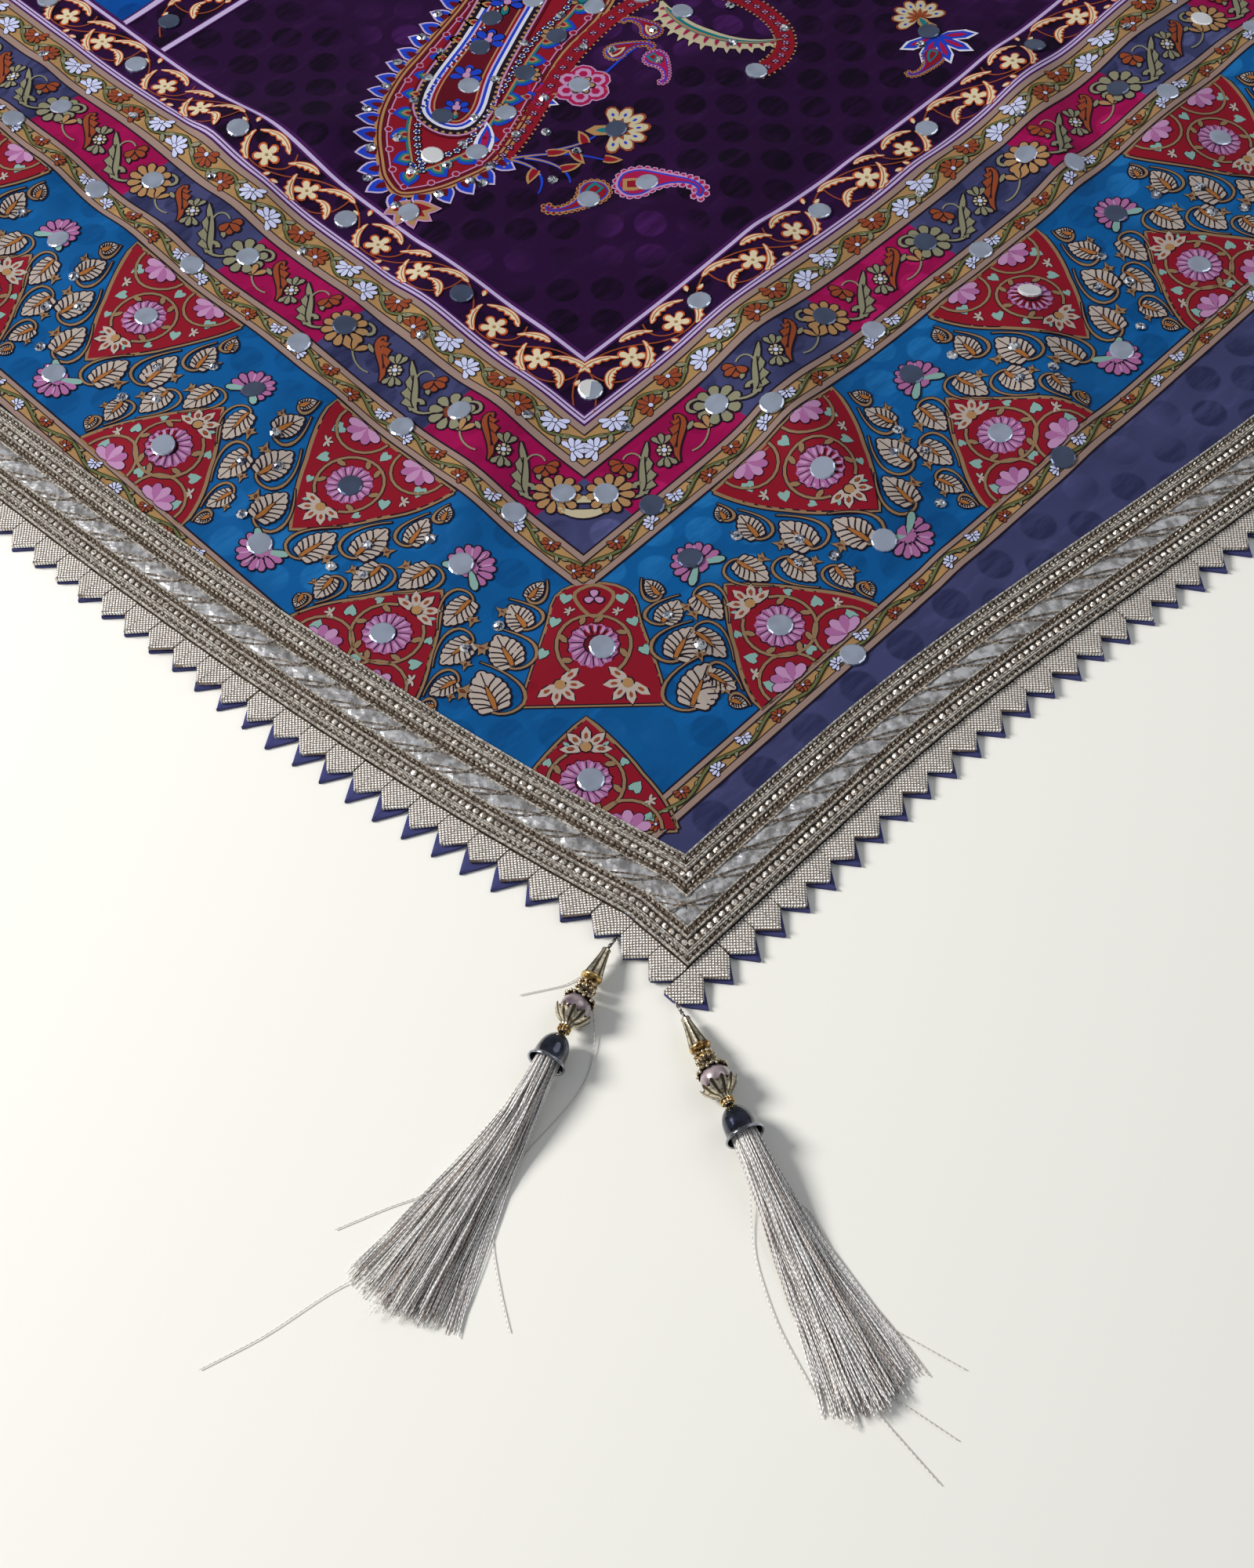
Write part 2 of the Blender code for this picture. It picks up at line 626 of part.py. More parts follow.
def make_fringe(tassel, place, down, material):
    """Locks that grow out of the faces of one head, which sits in the bell's mouth."""
    bm = bmesh.new()
    head_end = place @ Vector((0, 0, -BELL_RIM + 0.0004))
    heading = math.radians(tassel.heading)
    side = Vector((-math.sin(heading), math.cos(heading), 0))
    turned_to = math.radians(tassel.fringe_heading)
    across_fringe = Vector((-math.sin(turned_to), math.cos(turned_to), 0))
    up = Vector((0, 0, 1))
    grid = {}
    for c in range(FRINGE_COLUMNS + 1):
        for r in range(FRINGE_ROWS + 1):
            x = 2 * c / FRINGE_COLUMNS - 1
            y = 2 * r / FRINGE_ROWS - 1
            across = x * math.sqrt(1 - y * y / 2) * FRINGE_HEAD_RADIUS
            level = y * math.sqrt(1 - x * x / 2) * FRINGE_HEAD_RADIUS
            grid[c, r] = bm.verts.new(head_end + side * across + up * level)
    cells = {}
    for c in range(FRINGE_COLUMNS):
        for r in range(FRINGE_ROWS):
            corners = (grid[c, r], grid[c + 1, r], grid[c + 1, r + 1], grid[c, r + 1])
            cells[c, r] = bm.faces.new(corners)
    rim = [grid[c, 0] for c in range(FRINGE_COLUMNS + 1)]
    rim += [grid[FRINGE_COLUMNS, r] for r in range(1, FRINGE_ROWS + 1)]
    rim += [grid[c, FRINGE_ROWS] for c in range(FRINGE_COLUMNS - 1, -1, -1)]
    rim += [grid[0, r] for r in range(FRINGE_ROWS - 1, 0, -1)]
    behind = [bm.verts.new(vert.co - down * FRINGE_HEAD_LENGTH) for vert in rim]
    for k in range(len(rim)):
        after = (k + 1) % len(rim)
        bm.faces.new((rim[after], rim[k], behind[k], behind[after]))
    bm.faces.new(behind[::-1])
    for (c, r), face in cells.items():
        bmesh.ops.inset_individual(bm, faces=[face], thickness=LOCK_INSET)
        for share in LOCK_SHARES:
            made = bmesh.ops.extrude_discrete_faces(bm, faces=[face])
            face = made["faces"][0]
            centre = fringe_point(tassel, head_end, c, r, share)
            flank = across_fringe * LOCK_WIDTH / 2
            lift = up * LOCK_WIDTH * 0.4
            middle = face.calc_center_median()
            for vert in face.verts:
                from_middle = vert.co - middle
                sign_side = 1 if from_middle.dot(side) > 0 else -1
                sign_up = 1 if from_middle.z > 0 else -1
                vert.co = centre + flank * sign_side + lift * sign_up
    bmesh.ops.recalc_face_normals(bm, faces=bm.faces)
    mesh = bpy.data.meshes.new("fringe_" + tassel.name)
    bm.to_mesh(mesh)
    bm.free()
    return finish_object("fringe_" + tassel.name, mesh, material)


def make_tassel(tassel, materials):
    place, down = tassel_frame(tassel)
    make_thread(tassel, place, materials["silver_thread"])
    make_beads(tassel, place, materials)
    make_bell(tassel, place, materials["dark_chrome"])
    make_fringe(tassel, place, down, materials["silver_thread"])


clear_scene()
PARTS = bpy.data.collections.new("dupatta_stole")
bpy.context.scene.collection.children.link(PARTS)
MADE = make_materials()
make_upper_cloth(MADE["print_cloth"])
make_lower_cloth(MADE["slate_cloth"])
make_side_lace("lace_left", 0, 1, MADE["silver_lace"])
make_side_lace("lace_right", -1, -1, MADE["silver_lace"])
make_end_lace(MADE["silver_lace"])
make_teeth(MADE["silver_lace"], MADE["slate_cloth"])
for each in TASSELS:
    make_tassel(each, MADE)
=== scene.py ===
"""The looks of a printed satin dupatta stole, folded in half and laid flat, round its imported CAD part.

Places on the cloth are (u, v) in blocks of the printed border, from the border's first corner, as
in the part's source. Heights are in metres.
"""

import math
from collections import namedtuple

import bpy
import numpy as np
from mathutils import Matrix, Vector
from mathutils.geometry import delaunay_2d_cdt


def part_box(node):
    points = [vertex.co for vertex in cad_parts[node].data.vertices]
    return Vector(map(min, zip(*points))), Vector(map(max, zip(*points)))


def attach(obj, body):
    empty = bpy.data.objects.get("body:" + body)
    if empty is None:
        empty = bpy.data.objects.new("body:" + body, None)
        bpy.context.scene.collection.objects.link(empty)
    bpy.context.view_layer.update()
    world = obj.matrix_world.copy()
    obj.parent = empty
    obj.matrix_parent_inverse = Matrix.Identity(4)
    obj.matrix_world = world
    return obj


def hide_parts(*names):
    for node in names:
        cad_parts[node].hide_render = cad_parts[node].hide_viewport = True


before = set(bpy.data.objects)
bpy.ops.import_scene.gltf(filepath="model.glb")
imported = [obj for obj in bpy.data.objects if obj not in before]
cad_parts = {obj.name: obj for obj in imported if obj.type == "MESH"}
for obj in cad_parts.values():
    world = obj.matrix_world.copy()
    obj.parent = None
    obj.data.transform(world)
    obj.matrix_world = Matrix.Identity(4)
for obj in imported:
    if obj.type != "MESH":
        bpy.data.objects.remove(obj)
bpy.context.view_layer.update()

# The part's own sizes, in blocks and metres
BLOCK = 0.046
ACROSS = 11
FOLD_AT = 19.5
MIDDLE = (5.5, 8.3)
BORDER = 2.3
BORDER_CUT_SHORT = 0.82
BORDER_RECOVERS = 3.6
NEAR_CORNER = -2.3
END_BORDER = 2.28
END_BORDER_GROWS = 0.38
END_GROWS_FROM = -0.5
END_GROWS_OVER = 4.5
LACE_WIDTH = 0.48
TOOTH_BASE = 0.09
TOOTH_DEPTH = 0.10
TOOTH_PITCH = 0.20
PEEK_LEFT = 0.07
PEEK_END = 0.035
GAP = 0.0003
WALL = 0.0012
FOLD_RISE = 0.0040
FOLD_RISE_FROM = 1.3
EDGE_FADE = 1.0
MOUND_HEIGHT = 0.0012
FOLD_MIDDLE = WALL + GAP + WALL / 2 + FOLD_RISE
FOLD_OUTER = (FOLD_MIDDLE - WALL / 2) / 2 + WALL / 2
FOLD_CENTRE = FOLD_MIDDLE - FOLD_OUTER + WALL / 2
FLAT_END = FOLD_AT - FOLD_OUTER / BLOCK
TURN = math.pi * FOLD_OUTER / BLOCK  # blocks of cloth in the half turn at the fold
CLOTH_TOP = 2 * WALL + GAP

Ridge = namedtuple("Ridge", "u0 v0 u1 v1 height width")
RIDGES = [Ridge(*row) for row in (
    (1.6, 0.3, 0.9, -1.8, 0.0030, 0.32), (3.6, 2.8, 1.2, -0.7, 0.0022, 0.45),
    (6.3, 0.9, 4.4, -1.2, 0.0032, 0.40), (-0.9, 5.2, 1.4, 3.1, 0.0032, 0.45),
    (-1.2, 2.6, 0.6, 1.6, 0.0024, 0.40), (2.2, 5.6, 4.8, 6.9, 0.0036, 0.55),
    (7.6, 3.6, 10.9, 2.4, 0.0034, 0.50), (8.6, 8.3, 11.6, 9.9, 0.0032, 0.50),
    (-0.8, 9.4, 2.6, 10.9, 0.0036, 0.55), (3.4, 12.6, 8.2, 11.2, 0.0034, 0.60),
    (-0.6, 15.4, 4.4, 14.4, 0.0034, 0.55), (7.2, 16.6, 11.4, 15.1, 0.0036, 0.55),
)]
# Finer creases that only the looks have: soft ridges, and troughs with heights below zero
CREASES = [Ridge(*row) for row in (
    (1.15, -0.2, 1.12, -1.1, 0.0013, 0.16), (1.50, -0.6, 1.24, -1.35, -0.0010, 0.16),
    (1.00, -1.9, 1.04, -2.5, 0.0010, 0.16), (0.94, -1.6, 0.70, -2.3, -0.0007, 0.16),
    (0.2, 4.3, 0.3, 3.3, 0.0009, 0.16), (1.9, 3.4, 2.8, 3.7, -0.0009, 0.16),
    (2.5, 1.8, 2.2, 0.5, 0.0009, 0.16), (0.9, 1.3, 0.3, 0.5, 0.0007, 0.16),
    (5.2, 0.1, 6.2, -0.7, 0.0013, 0.16), (4.2, -0.2, 3.5, -1.4, 0.0010, 0.16),
    (2.7, -0.4, 2.4, -1.7, 0.0007, 0.16), (-0.5, 0.9, -1.4, 0.5, 0.0007, 0.16),
    (-0.4, 3.4, -1.7, 2.6, 0.0009, 0.16), (3.2, 4.1, 4.9, 4.5, 0.0013, 0.20),
    (6.9, 2.2, 8.1, 0.4, 0.0014, 0.18), (8.9, 1.3, 9.6, -0.9, -0.0012, 0.16),
    (5.4, 6.1, 6.8, 8.0, 0.0016, 0.22), (1.1, 7.2, 0.2, 8.8, 0.0012, 0.17),
    (9.4, 5.1, 10.6, 6.4, 0.0013, 0.19), (3.1, 9.2, 4.9, 9.9, -0.0013, 0.21),
    (7.4, 9.6, 8.9, 11.1, 0.0017, 0.24), (0.6, 12.2, 2.4, 13.4, 0.0014, 0.20),
    (9.1, 12.8, 11.8, 13.3, 0.0016, 0.23), (4.6, 15.9, 6.4, 17.4, 0.0017, 0.22),
    (1.3, 16.6, 1.9, 18.3, 0.0013, 0.18), (10.2, 17.1, 9.3, 18.6, 0.0014, 0.20),
    (0.35, 4.05, 0.95, 3.25, 0.0035, 0.25), (-1.1, 3.9, 0.3, 3.2, 0.0030, 0.25),
    (-1.8, 2.2, -0.6, 1.5, 0.0029, 0.25), (3.0, -0.9, 2.2, -2.0, 0.0032, 0.25),
    (4.8, 0.6, 3.9, -0.5, 0.0035, 0.25), (5.9, -0.6, 5.3, -1.9, 0.0032, 0.25),
    (7.6, 0.9, 6.8, -0.7, 0.0035, 0.25), (9.0, -0.5, 8.2, -1.8, 0.0032, 0.25),
    (0.2, 0.9, -0.9, 0.2, 0.0028, 0.25), (-1.0, -0.6, -0.4, -1.5, 0.0026, 0.25),
    (-1.9, 4.9, -0.5, 4.4, 0.0032, 0.25), (-1.2, 4.9, 0.2, 5.5, 0.0017, 0.16),
    (-1.9, 6.3, 0.4, 6.9, -0.0016, 0.16), (0.9, 5.6, 2.4, 5.1, 0.0016, 0.16),
    (4.4, 3.4, 5.9, 3.0, 0.0014, 0.16), (5.6, 4.4, 7.4, 4.1, -0.0016, 0.17),
    (1.6, 1.4, 3.0, 1.0, 0.0013, 0.16), (3.1, 0.6, 3.9, -0.1, 0.0014, 0.16),
    (6.9, -0.9, 7.9, -0.4, 0.0016, 0.16), (-0.3, 1.6, 0.7, 2.4, -0.0013, 0.16),
    (-1.7, 1.2, -0.9, 1.9, 0.0013, 0.16),
)]


def rgb(red, green, blue):
    """Linear colour of an sRGB one from 0 to 255."""
    made = []
    for value in (red, green, blue):
        share = value / 255
        made.append(share / 12.92 if share <= 0.04045 else ((share + 0.055) / 1.055) ** 2.4)
    return tuple(made)


def smoothstep(t):
    t = np.clip(t, 0.0, 1.0)
    return t * t * (3 - 2 * t)


def left_lace(v):
    along = np.maximum(v, NEAR_CORNER) - NEAR_CORNER
    return BORDER_CUT_SHORT * np.exp(-along / BORDER_RECOVERS) - BORDER


def end_lace(u):
    return -END_BORDER - END_BORDER_GROWS * smoothstep((u - END_GROWS_FROM) / END_GROWS_OVER)


def right_lace(v):
    return ACROSS + BORDER + 0 * v


def within_lace(u, v, margin):
    """Whether places lie inside the lace's inner edges by a margin."""
    return (u > left_lace(v) + margin) & (v > end_lace(u) + margin) & (u < right_lace(v) - margin)


def ridge_height(ridge, u, v):
    run_u, run_v = ridge.u1 - ridge.u0, ridge.v1 - ridge.v0
    long = math.hypot(run_u, run_v)
    t = ((u - ridge.u0) * run_u + (v - ridge.v0) * run_v) / long**2
    across = ((u - ridge.u0) * run_v - (v - ridge.v0) * run_u) / long
    ends = smoothstep(t / 0.3 + 0.5) * smoothstep((1 - t) / 0.3 + 0.5)
    return ridge.height * np.exp(-((across / ridge.width) ** 2)) * ends


def rise(u, v):
    """Height of the upper layer above its lowest place, from its ripples, creases and fold."""
    from_lace = np.minimum(np.minimum(u - left_lace(v), right_lace(v) - u), v - end_lace(u))
    ripples = sum(ridge_height(ridge, u, v) for ridge in RIDGES)
    creases = sum(ridge_height(ridge, u, v) for ridge in CREASES)
    mounds = (1 + np.sin(1.1 * u + 0.4 * v)) * (1 + np.cos(0.9 * v - 0.5 * u)) / 4
    before_fold = smoothstep((FOLD_AT - v) / FOLD_RISE_FROM - 0.2)
    near_lace = smoothstep(from_lace / EDGE_FADE) * before_fold
    fine = smoothstep(from_lace / 0.35 + 0.1) * before_fold
    turned = FOLD_RISE * (1 - smoothstep((FOLD_AT - v) / FOLD_RISE_FROM - 0.1))
    return np.maximum((ripples + MOUND_HEIGHT * mounds) * near_lace + creases * fine, 0) + turned


def metres(u, v):
    """x and y of a place on the flat cloth."""
    return (u - MIDDLE[0]) * BLOCK, (v - MIDDLE[1]) * BLOCK


def on_cloth(u, v, lift):
    """Points lift metres above the upper layer, and round its fold where v goes past it."""
    u, v, lift = np.broadcast_arrays(np.asarray(u, float), np.asarray(v, float), np.asarray(lift, float))
    flat_v = np.minimum(v, FLAT_END)
    angle = np.maximum(v - FLAT_END, 0) * BLOCK / FOLD_OUTER
    z_flat = CLOTH_TOP + rise(u, flat_v) + lift
    z_turned = FOLD_CENTRE + np.cos(angle) * (FOLD_OUTER + lift)
    x, y = metres(u, flat_v)
    y = y + np.sin(angle) * (FOLD_OUTER + lift)
    return np.stack([x, y, np.where(v > FLAT_END, z_turned, z_flat)], axis=-1)


class Nodes:
    """Short calls for building one material's nodes, in the order in which they are worked out."""

    def __init__(self, name, colour, roughness, metallic=0.0, sheen=0.0, coat=0.0):
        self.material = bpy.data.materials.new(name)
        self.material.use_nodes = True
        self.tree = self.material.node_tree
        self.tree.nodes.clear()
        self.shader = self.new("ShaderNodeBsdfPrincipled")
        self.put(self.shader, "Base Color", (*colour, 1.0))
        self.put(self.shader, "Roughness", roughness)
        self.put(self.shader, "Metallic", metallic)
        self.put(self.shader, "Sheen Weight", sheen)
        self.put(self.shader, "Coat Weight", coat)
        if metallic == 0.0:
            self.put(self.shader, "Specular IOR Level", 0.07)
        out = self.new("ShaderNodeOutputMaterial")
        self.tree.links.new(self.shader.outputs[0], out.inputs[0])

    def new(self, kind, **settings):
        node = self.tree.nodes.new(kind)
        for key, value in settings.items():
            setattr(node, key, value)
        return node

    def put(self, node, socket, value):
        target = node.inputs[socket]
        if isinstance(value, bpy.types.NodeSocket):
            self.tree.links.new(value, target)
        else:
            target.default_value = value

    def uv(self, name="cloth"):
        return self.new("ShaderNodeUVMap", uv_map=name).outputs[0]

    def place(self):
        return self.new("ShaderNodeTexCoord").outputs["Object"]

    def mapped(self, vector, scale, turn=0.0):
        node = self.new("ShaderNodeMapping")
        self.put(node, "Vector", vector)
        self.put(node, "Rotation", (0, 0, turn))
        self.put(node, "Scale", scale)
        return node.outputs[0]

    def noise(self, vector, scale, detail=2.0, roughness=0.5):
        node = self.new("ShaderNodeTexNoise")
        self.put(node, "Vector", vector)
        self.put(node, "Scale", scale)
        self.put(node, "Detail", detail)
        self.put(node, "Roughness", roughness)
        return node.outputs["Fac"]

    def wave(self, vector, scale, direction="X", distortion=0.0):
        node = self.new("ShaderNodeTexWave", bands_direction=direction)
        self.put(node, "Vector", vector)
        self.put(node, "Scale", scale)
        self.put(node, "Distortion", distortion)
        return node.outputs["Fac"]

    def math(self, operation, first, second=0.0):
        node = self.new("ShaderNodeMath", operation=operation)
        self.put(node, 0, first)
        self.put(node, 1, second)
        return node.outputs[0]

    def vector(self, operation, first, second=(0, 0, 0)):
        node = self.new("ShaderNodeVectorMath", operation=operation)
        self.put(node, 0, first)
        if operation not in ("LENGTH", "FRACTION"):
            self.put(node, 1, second)
        return node.outputs["Value" if operation == "LENGTH" else "Vector"]

    def between(self, value, low, high, to_low=0.0, to_high=1.0):
        node = self.new("ShaderNodeMapRange", interpolation_type="SMOOTHSTEP")
        self.put(node, "Value", value)
        self.put(node, "From Min", low)
        self.put(node, "From Max", high)
        self.put(node, "To Min", to_low)
        self.put(node, "To Max", to_high)
        return node.outputs[0]

    def mix(self, share, first, second):
        node = self.new("ShaderNodeMix", data_type="RGBA")
        self.put(node, "Factor", share)
        for socket, value in ((6, first), (7, second)):
            full = value if isinstance(value, bpy.types.NodeSocket) else (*value, 1.0)
            self.put(node, socket, full)
        return node.outputs[2]

    def paint(self, colour):
        self.put(self.shader, "Base Color", colour)

    def gloss(self, value, low, high, rough_low, rough_high):
        self.put(self.shader, "Roughness", self.between(value, low, high, rough_low, rough_high))

    def bump(self, height, strength, distance):
        node = self.new("ShaderNodeBump")
        self.put(node, "Height", height)
        self.put(node, "Strength", strength)
        self.put(node, "Distance", distance)
        self.put(self.shader, "Normal", node.outputs[0])


def satin_weave(nodes, roughness, strength=0.25):
    """Fine twill threads and a slightly uneven gloss, for everything printed on the cloth."""
    uv = nodes.uv()
    threads = nodes.wave(uv, 34.0, "DIAGONAL", 1.2)
    slubs = nodes.noise(nodes.mapped(uv, (9.0, 60.0, 1.0)), 4.0)
    nodes.gloss(slubs, 0.3, 0.7, roughness - 0.07, roughness + 0.08)
    nodes.bump(nodes.math("ADD", threads, nodes.math("MULTIPLY", slubs, 0.8)), strength, 0.00006)


DOT_PITCH = 0.285  # blocks between the woven dots


GROUND_GLOSS = 0.5


def satin(name, colour, dot):
    """The cloth's ground, with painted crease shade and sheen, and woven dots painted lit in places,
    shaded elsewhere.
    """
    nodes = Nodes(name, colour, GROUND_GLOSS)
    uv = nodes.uv()
    # Painted shade: mottled darkening that stands for the shade of crumpled creases.
    crease_shade_mottle = nodes.between(nodes.noise(uv, 2.3, 3.0), 0.3, 0.7)
    shade = nodes.mix(nodes.math("MULTIPLY", crease_shade_mottle, 0.5), colour, tuple(0.66 * c for c in colour))
    # Painted sheen: long lighter streaks that stand for the satin's highlights.
    sheen_streak = nodes.between(
        nodes.noise(nodes.mapped(uv, (1.1, 4.2, 1.0), 0.5), 1.6, 4.0, 0.65), 0.50, 0.74
    )
    shade = nodes.mix(
        nodes.math("MULTIPLY", sheen_streak, 0.5), shade, tuple(min(1.0, 1.5 * c + 0.004) for c in colour)
    )
    if dot is not None:
        lattice = nodes.mapped(uv, (1 / DOT_PITCH, 1 / DOT_PITCH, 1.0), math.radians(45))
        cell = nodes.vector("SUBTRACT", nodes.vector("FRACTION", lattice), (0.5, 0.5, 0.0))
        flat = nodes.vector("MULTIPLY", cell, (1.0, 1.0, 0.0))
        inside = nodes.between(nodes.vector("LENGTH", flat), 0.42, 0.34)
        brushed = nodes.between(
            nodes.noise(nodes.mapped(uv, (3.0, 14.0, 1.0), 0.6), 1.0, 3.0, 0.7), 0.35, 0.62, 0.35, 1.0
        )
        # Painted sheen: the dots take their lit colour where this noise is high, their shaded one
        # elsewhere.
        catch = nodes.between(nodes.noise(uv, 0.62, 1.0), 0.50, 0.66)
        shine = nodes.mix(catch, dot[0], dot[1])
        shade = nodes.mix(nodes.math("MULTIPLY", inside, brushed), shade, shine)
    nodes.paint(shade)
    satin_weave(nodes, GROUND_GLOSS)
    return nodes.material


def ink(name, colour, roughness=0.58):
    nodes = Nodes(name, colour, roughness)
    satin_weave(nodes, roughness, 0.2)
    return nodes.material


def make_mesh_object(name, points, faces, materials, slots=None, uv=None, uv_name="cloth", smooth=True):
    """A mesh from arrays of points and of faces with as many corners each."""
    points = np.asarray(points, np.float32).reshape(-1, 3)
    faces = np.asarray(faces, np.int32)
    mesh = bpy.data.meshes.new(name)
    mesh.vertices.add(len(points))
    mesh.vertices.foreach_set("co", points.ravel())
    sides = faces.shape[1]
    mesh.loops.add(faces.size)
    mesh.loops.foreach_set("vertex_index", faces.ravel())
    mesh.polygons.add(len(faces))
    mesh.polygons.foreach_set("loop_start", np.arange(0, faces.size, sides, dtype=np.int32))
    mesh.update(calc_edges=True)
    for material in materials:
        mesh.materials.append(material)
    if slots is not None:
        mesh.polygons.foreach_set("material_index", np.asarray(slots, np.int32))
    if uv is not None:
        layer = mesh.uv_layers.new(name=uv_name)
        layer.data.foreach_set("uv", np.asarray(uv, np.float32)[faces.ravel()].ravel())
    mesh.polygons.foreach_set("use_smooth", np.full(len(faces), smooth))
    mesh.validate()
    obj = bpy.data.objects.new(name, mesh)
    bpy.context.scene.collection.objects.link(obj)
    return obj


class Heap:
    """Points and triangles gathered from many small shapes, for one mesh."""

    def __init__(self):
        self.points, self.faces, self.slots, self.uvs = [], [], [], []
        self.count = 0

    def add(self, points, faces, slot=0, uv=None):
        points = np.asarray(points, float).reshape(-1, 3)
        faces = np.asarray(faces, int).reshape(-1, 3)
        self.points.append(points)
        self.faces.append(faces + self.count)
        slot = np.broadcast_to(slot, len(faces))
        self.slots.append(slot)
        self.uvs.append(
            np.zeros((len(points), 2)) if uv is None else np.asarray(uv, float).reshape(-1, 2)
        )
        self.count += len(points)

    def build(self, name, materials, smooth=True, uv_name="cloth"):
        return make_mesh_object(
            name,
            np.concatenate(self.points),
            np.concatenate(self.faces),
            materials,
            np.concatenate(self.slots),
            np.concatenate(self.uvs),
            uv_name,
            smooth,
        )


def stand_in(piece, node):
    """A piece that takes the place of a CAD node."""
    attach(piece, "root")
    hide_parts(node)
    return piece


def grid_faces(rows, columns, closed=False):
    """Triangles over rows x columns points that are numbered row by row."""
    wide = columns if closed else columns - 1
    r, c = np.meshgrid(np.arange(rows - 1), np.arange(wide), indexing="ij")
    r, c = r.ravel(), c.ravel()
    after = (c + 1) % columns
    a, b = r * columns + c, r * columns + after
    d, e = (r + 1) * columns + c, (r + 1) * columns + after
    return np.concatenate([np.stack([a, b, e], 1), np.stack([a, e, d], 1)])


# Camera, from the photograph's own perspective
CAMERA_PLACE = (-0.5184, -0.6773, 0.4698)
CAMERA_PITCH = math.radians(57.66)
CAMERA_ROLL = math.radians(2.60)
CAMERA_HEADING = (0.6833, 0.7302)
CAMERA_LENS = 49.87  # millimetres, on a sensor 36 mm along the longer side


def make_camera():
    pitch, roll = CAMERA_PITCH, CAMERA_ROLL
    ahead = Vector(
        (CAMERA_HEADING[0] * math.cos(pitch), CAMERA_HEADING[1] * math.cos(pitch), -math.sin(pitch))
    )
    level = Vector((CAMERA_HEADING[1], -CAMERA_HEADING[0], 0))
    down = ahead.cross(level)
    right = level * math.cos(roll) + down * math.sin(roll)
    down = down * math.cos(roll) - level * math.sin(roll)
    turn = Matrix((right, -down, -ahead)).transposed()
    data = bpy.data.cameras.new("camera")
    data.lens = CAMERA_LENS
    data.sensor_width = 36.0
    data.clip_start = 0.01
    camera = bpy.data.objects.new("camera", data)
    camera.matrix_world = Matrix.Translation(CAMERA_PLACE) @ turn.to_4x4()
    bpy.context.scene.collection.objects.link(camera)
    bpy.context.scene.camera = camera


def make_light(name, place, aim, size, power, colour):
    data = bpy.data.lights.new(name, "AREA")
    data.shape = "DISK"
    data.size = size
    data.energy = power
    data.color = colour
    light = bpy.data.objects.new(name, data)
    light.location = place
    light.rotation_euler = (Vector(aim) - Vector(place)).to_track_quat("-Z", "Y").to_euler()
    bpy.context.scene.collection.objects.link(light)


def make_studio():
    bpy.context.scene.view_settings.view_transform = "Standard"
    world = bpy.data.worlds.new("studio")
    bpy.context.scene.world = world
    world.use_nodes = True
    sky = world.node_tree.nodes["Background"]
    sky.inputs["Color"].default_value = (*rgb(222, 228, 236), 1.0)
    sky.inputs["Strength"].default_value = 0.33
    make_light("key", (-1.10, 0.55, 1.00), (-0.15, -0.25, 0), 0.55, 31.0, (1.0, 0.985, 0.955))
    make_light("fill", (0.9, -0.9, 1.3), (-0.1, -0.2, 0), 1.3, 5.0, (0.97, 0.985, 1.0))
    floor = make_mesh_object(
        "floor",
        [(-6, -6, 0), (6, -6, 0), (6, 6, 0), (-6, 6, 0)],
        [(0, 1, 2, 3)],
        [Nodes("floor", rgb(240, 238, 231), 0.85).material],
    )


# Grounds of the cloth, by distance inward from the print's outer edge
# Each ground's dot pair is its woven dots' colour with painted shade, then with painted sheen.
GROUNDS = {
    "purple": (rgb(36, 9, 48), (rgb(15, 4, 22), rgb(60, 22, 78))),
    "blue": (rgb(10, 80, 138), (rgb(6, 66, 118), rgb(26, 100, 160))),
    "magenta": (rgb(140, 10, 70), (rgb(122, 8, 60), rgb(160, 22, 86))),
    "slate": (rgb(58, 60, 98), (rgb(38, 40, 72), rgb(80, 84, 128))),
    "tan": (rgb(156, 122, 80), None),
    "body": (rgb(4, 64, 136), (rgb(2, 50, 114), rgb(16, 86, 160))),
}
FIELD_START = 0.68
FIELD_END = 4.97
CROSS_BAND_END = 5.40
BANDS = (
    (-2.10, "tan"), (-1.92, "blue"), (-0.62, "tan"), (-0.417, "blocks"), (0.0, "tan"), (0.31, "purple")
)
BAND_LINES = (*[start for start, ground in BANDS], FIELD_START)


def ground_of(u, v):
    """Name of the ground at each place, as indices into GROUNDS."""
    names = list(GROUNDS)
    side = np.minimum(u, ACROSS - u)
    inward = np.minimum(side, v)
    along = np.where(side < v, v, u)
    beyond_corner = (side < 0) & (v < 0)
    even = (np.floor(along) % 2 == 0) & ~beyond_corner
    found = np.full(u.shape, names.index("slate"))
    blocks = np.where(even, names.index("magenta"), names.index("slate"))
    for start, ground in BANDS:
        within = inward > start
        found[within] = blocks[within] if ground == "blocks" else names.index(ground)
    found[(inward > FIELD_START) & (v > CROSS_BAND_END)] = names.index("body")
    return found


NEAR_UNTIL = 7.0  # the photo shows the cloth up to here, so its cells are finer


def stations(low, high, forced, near, far):
    """Lines from low to high through every forced one, no further apart than near or far."""
    marks = sorted({low, high, *[x for x in forced if low < x < high]})
    made = [low]
    for start, end in zip(marks, marks[1:]):
        step = near if start < NEAR_UNTIL else far
        count = max(1, math.ceil((end - start) / step - 1e-6))
        made += [start + (end - start) * (k + 1) / count for k in range(count)]
    return np.array(made)


def cloth_lines(near, far):
    whole = [float(k) for k in range(0, 20)]
    across = [*BAND_LINES, *[ACROSS - d for d in BAND_LINES], *whole[:12]]
    along = [*BAND_LINES, FIELD_END, CROSS_BAND_END, *whole]
    us = stations(-BORDER - LACE_WIDTH, ACROSS + BORDER + LACE_WIDTH, across, near, far)
    vs = stations(-END_BORDER - END_BORDER_GROWS - LACE_WIDTH, FLAT_END, along, near, far)
    return us, vs


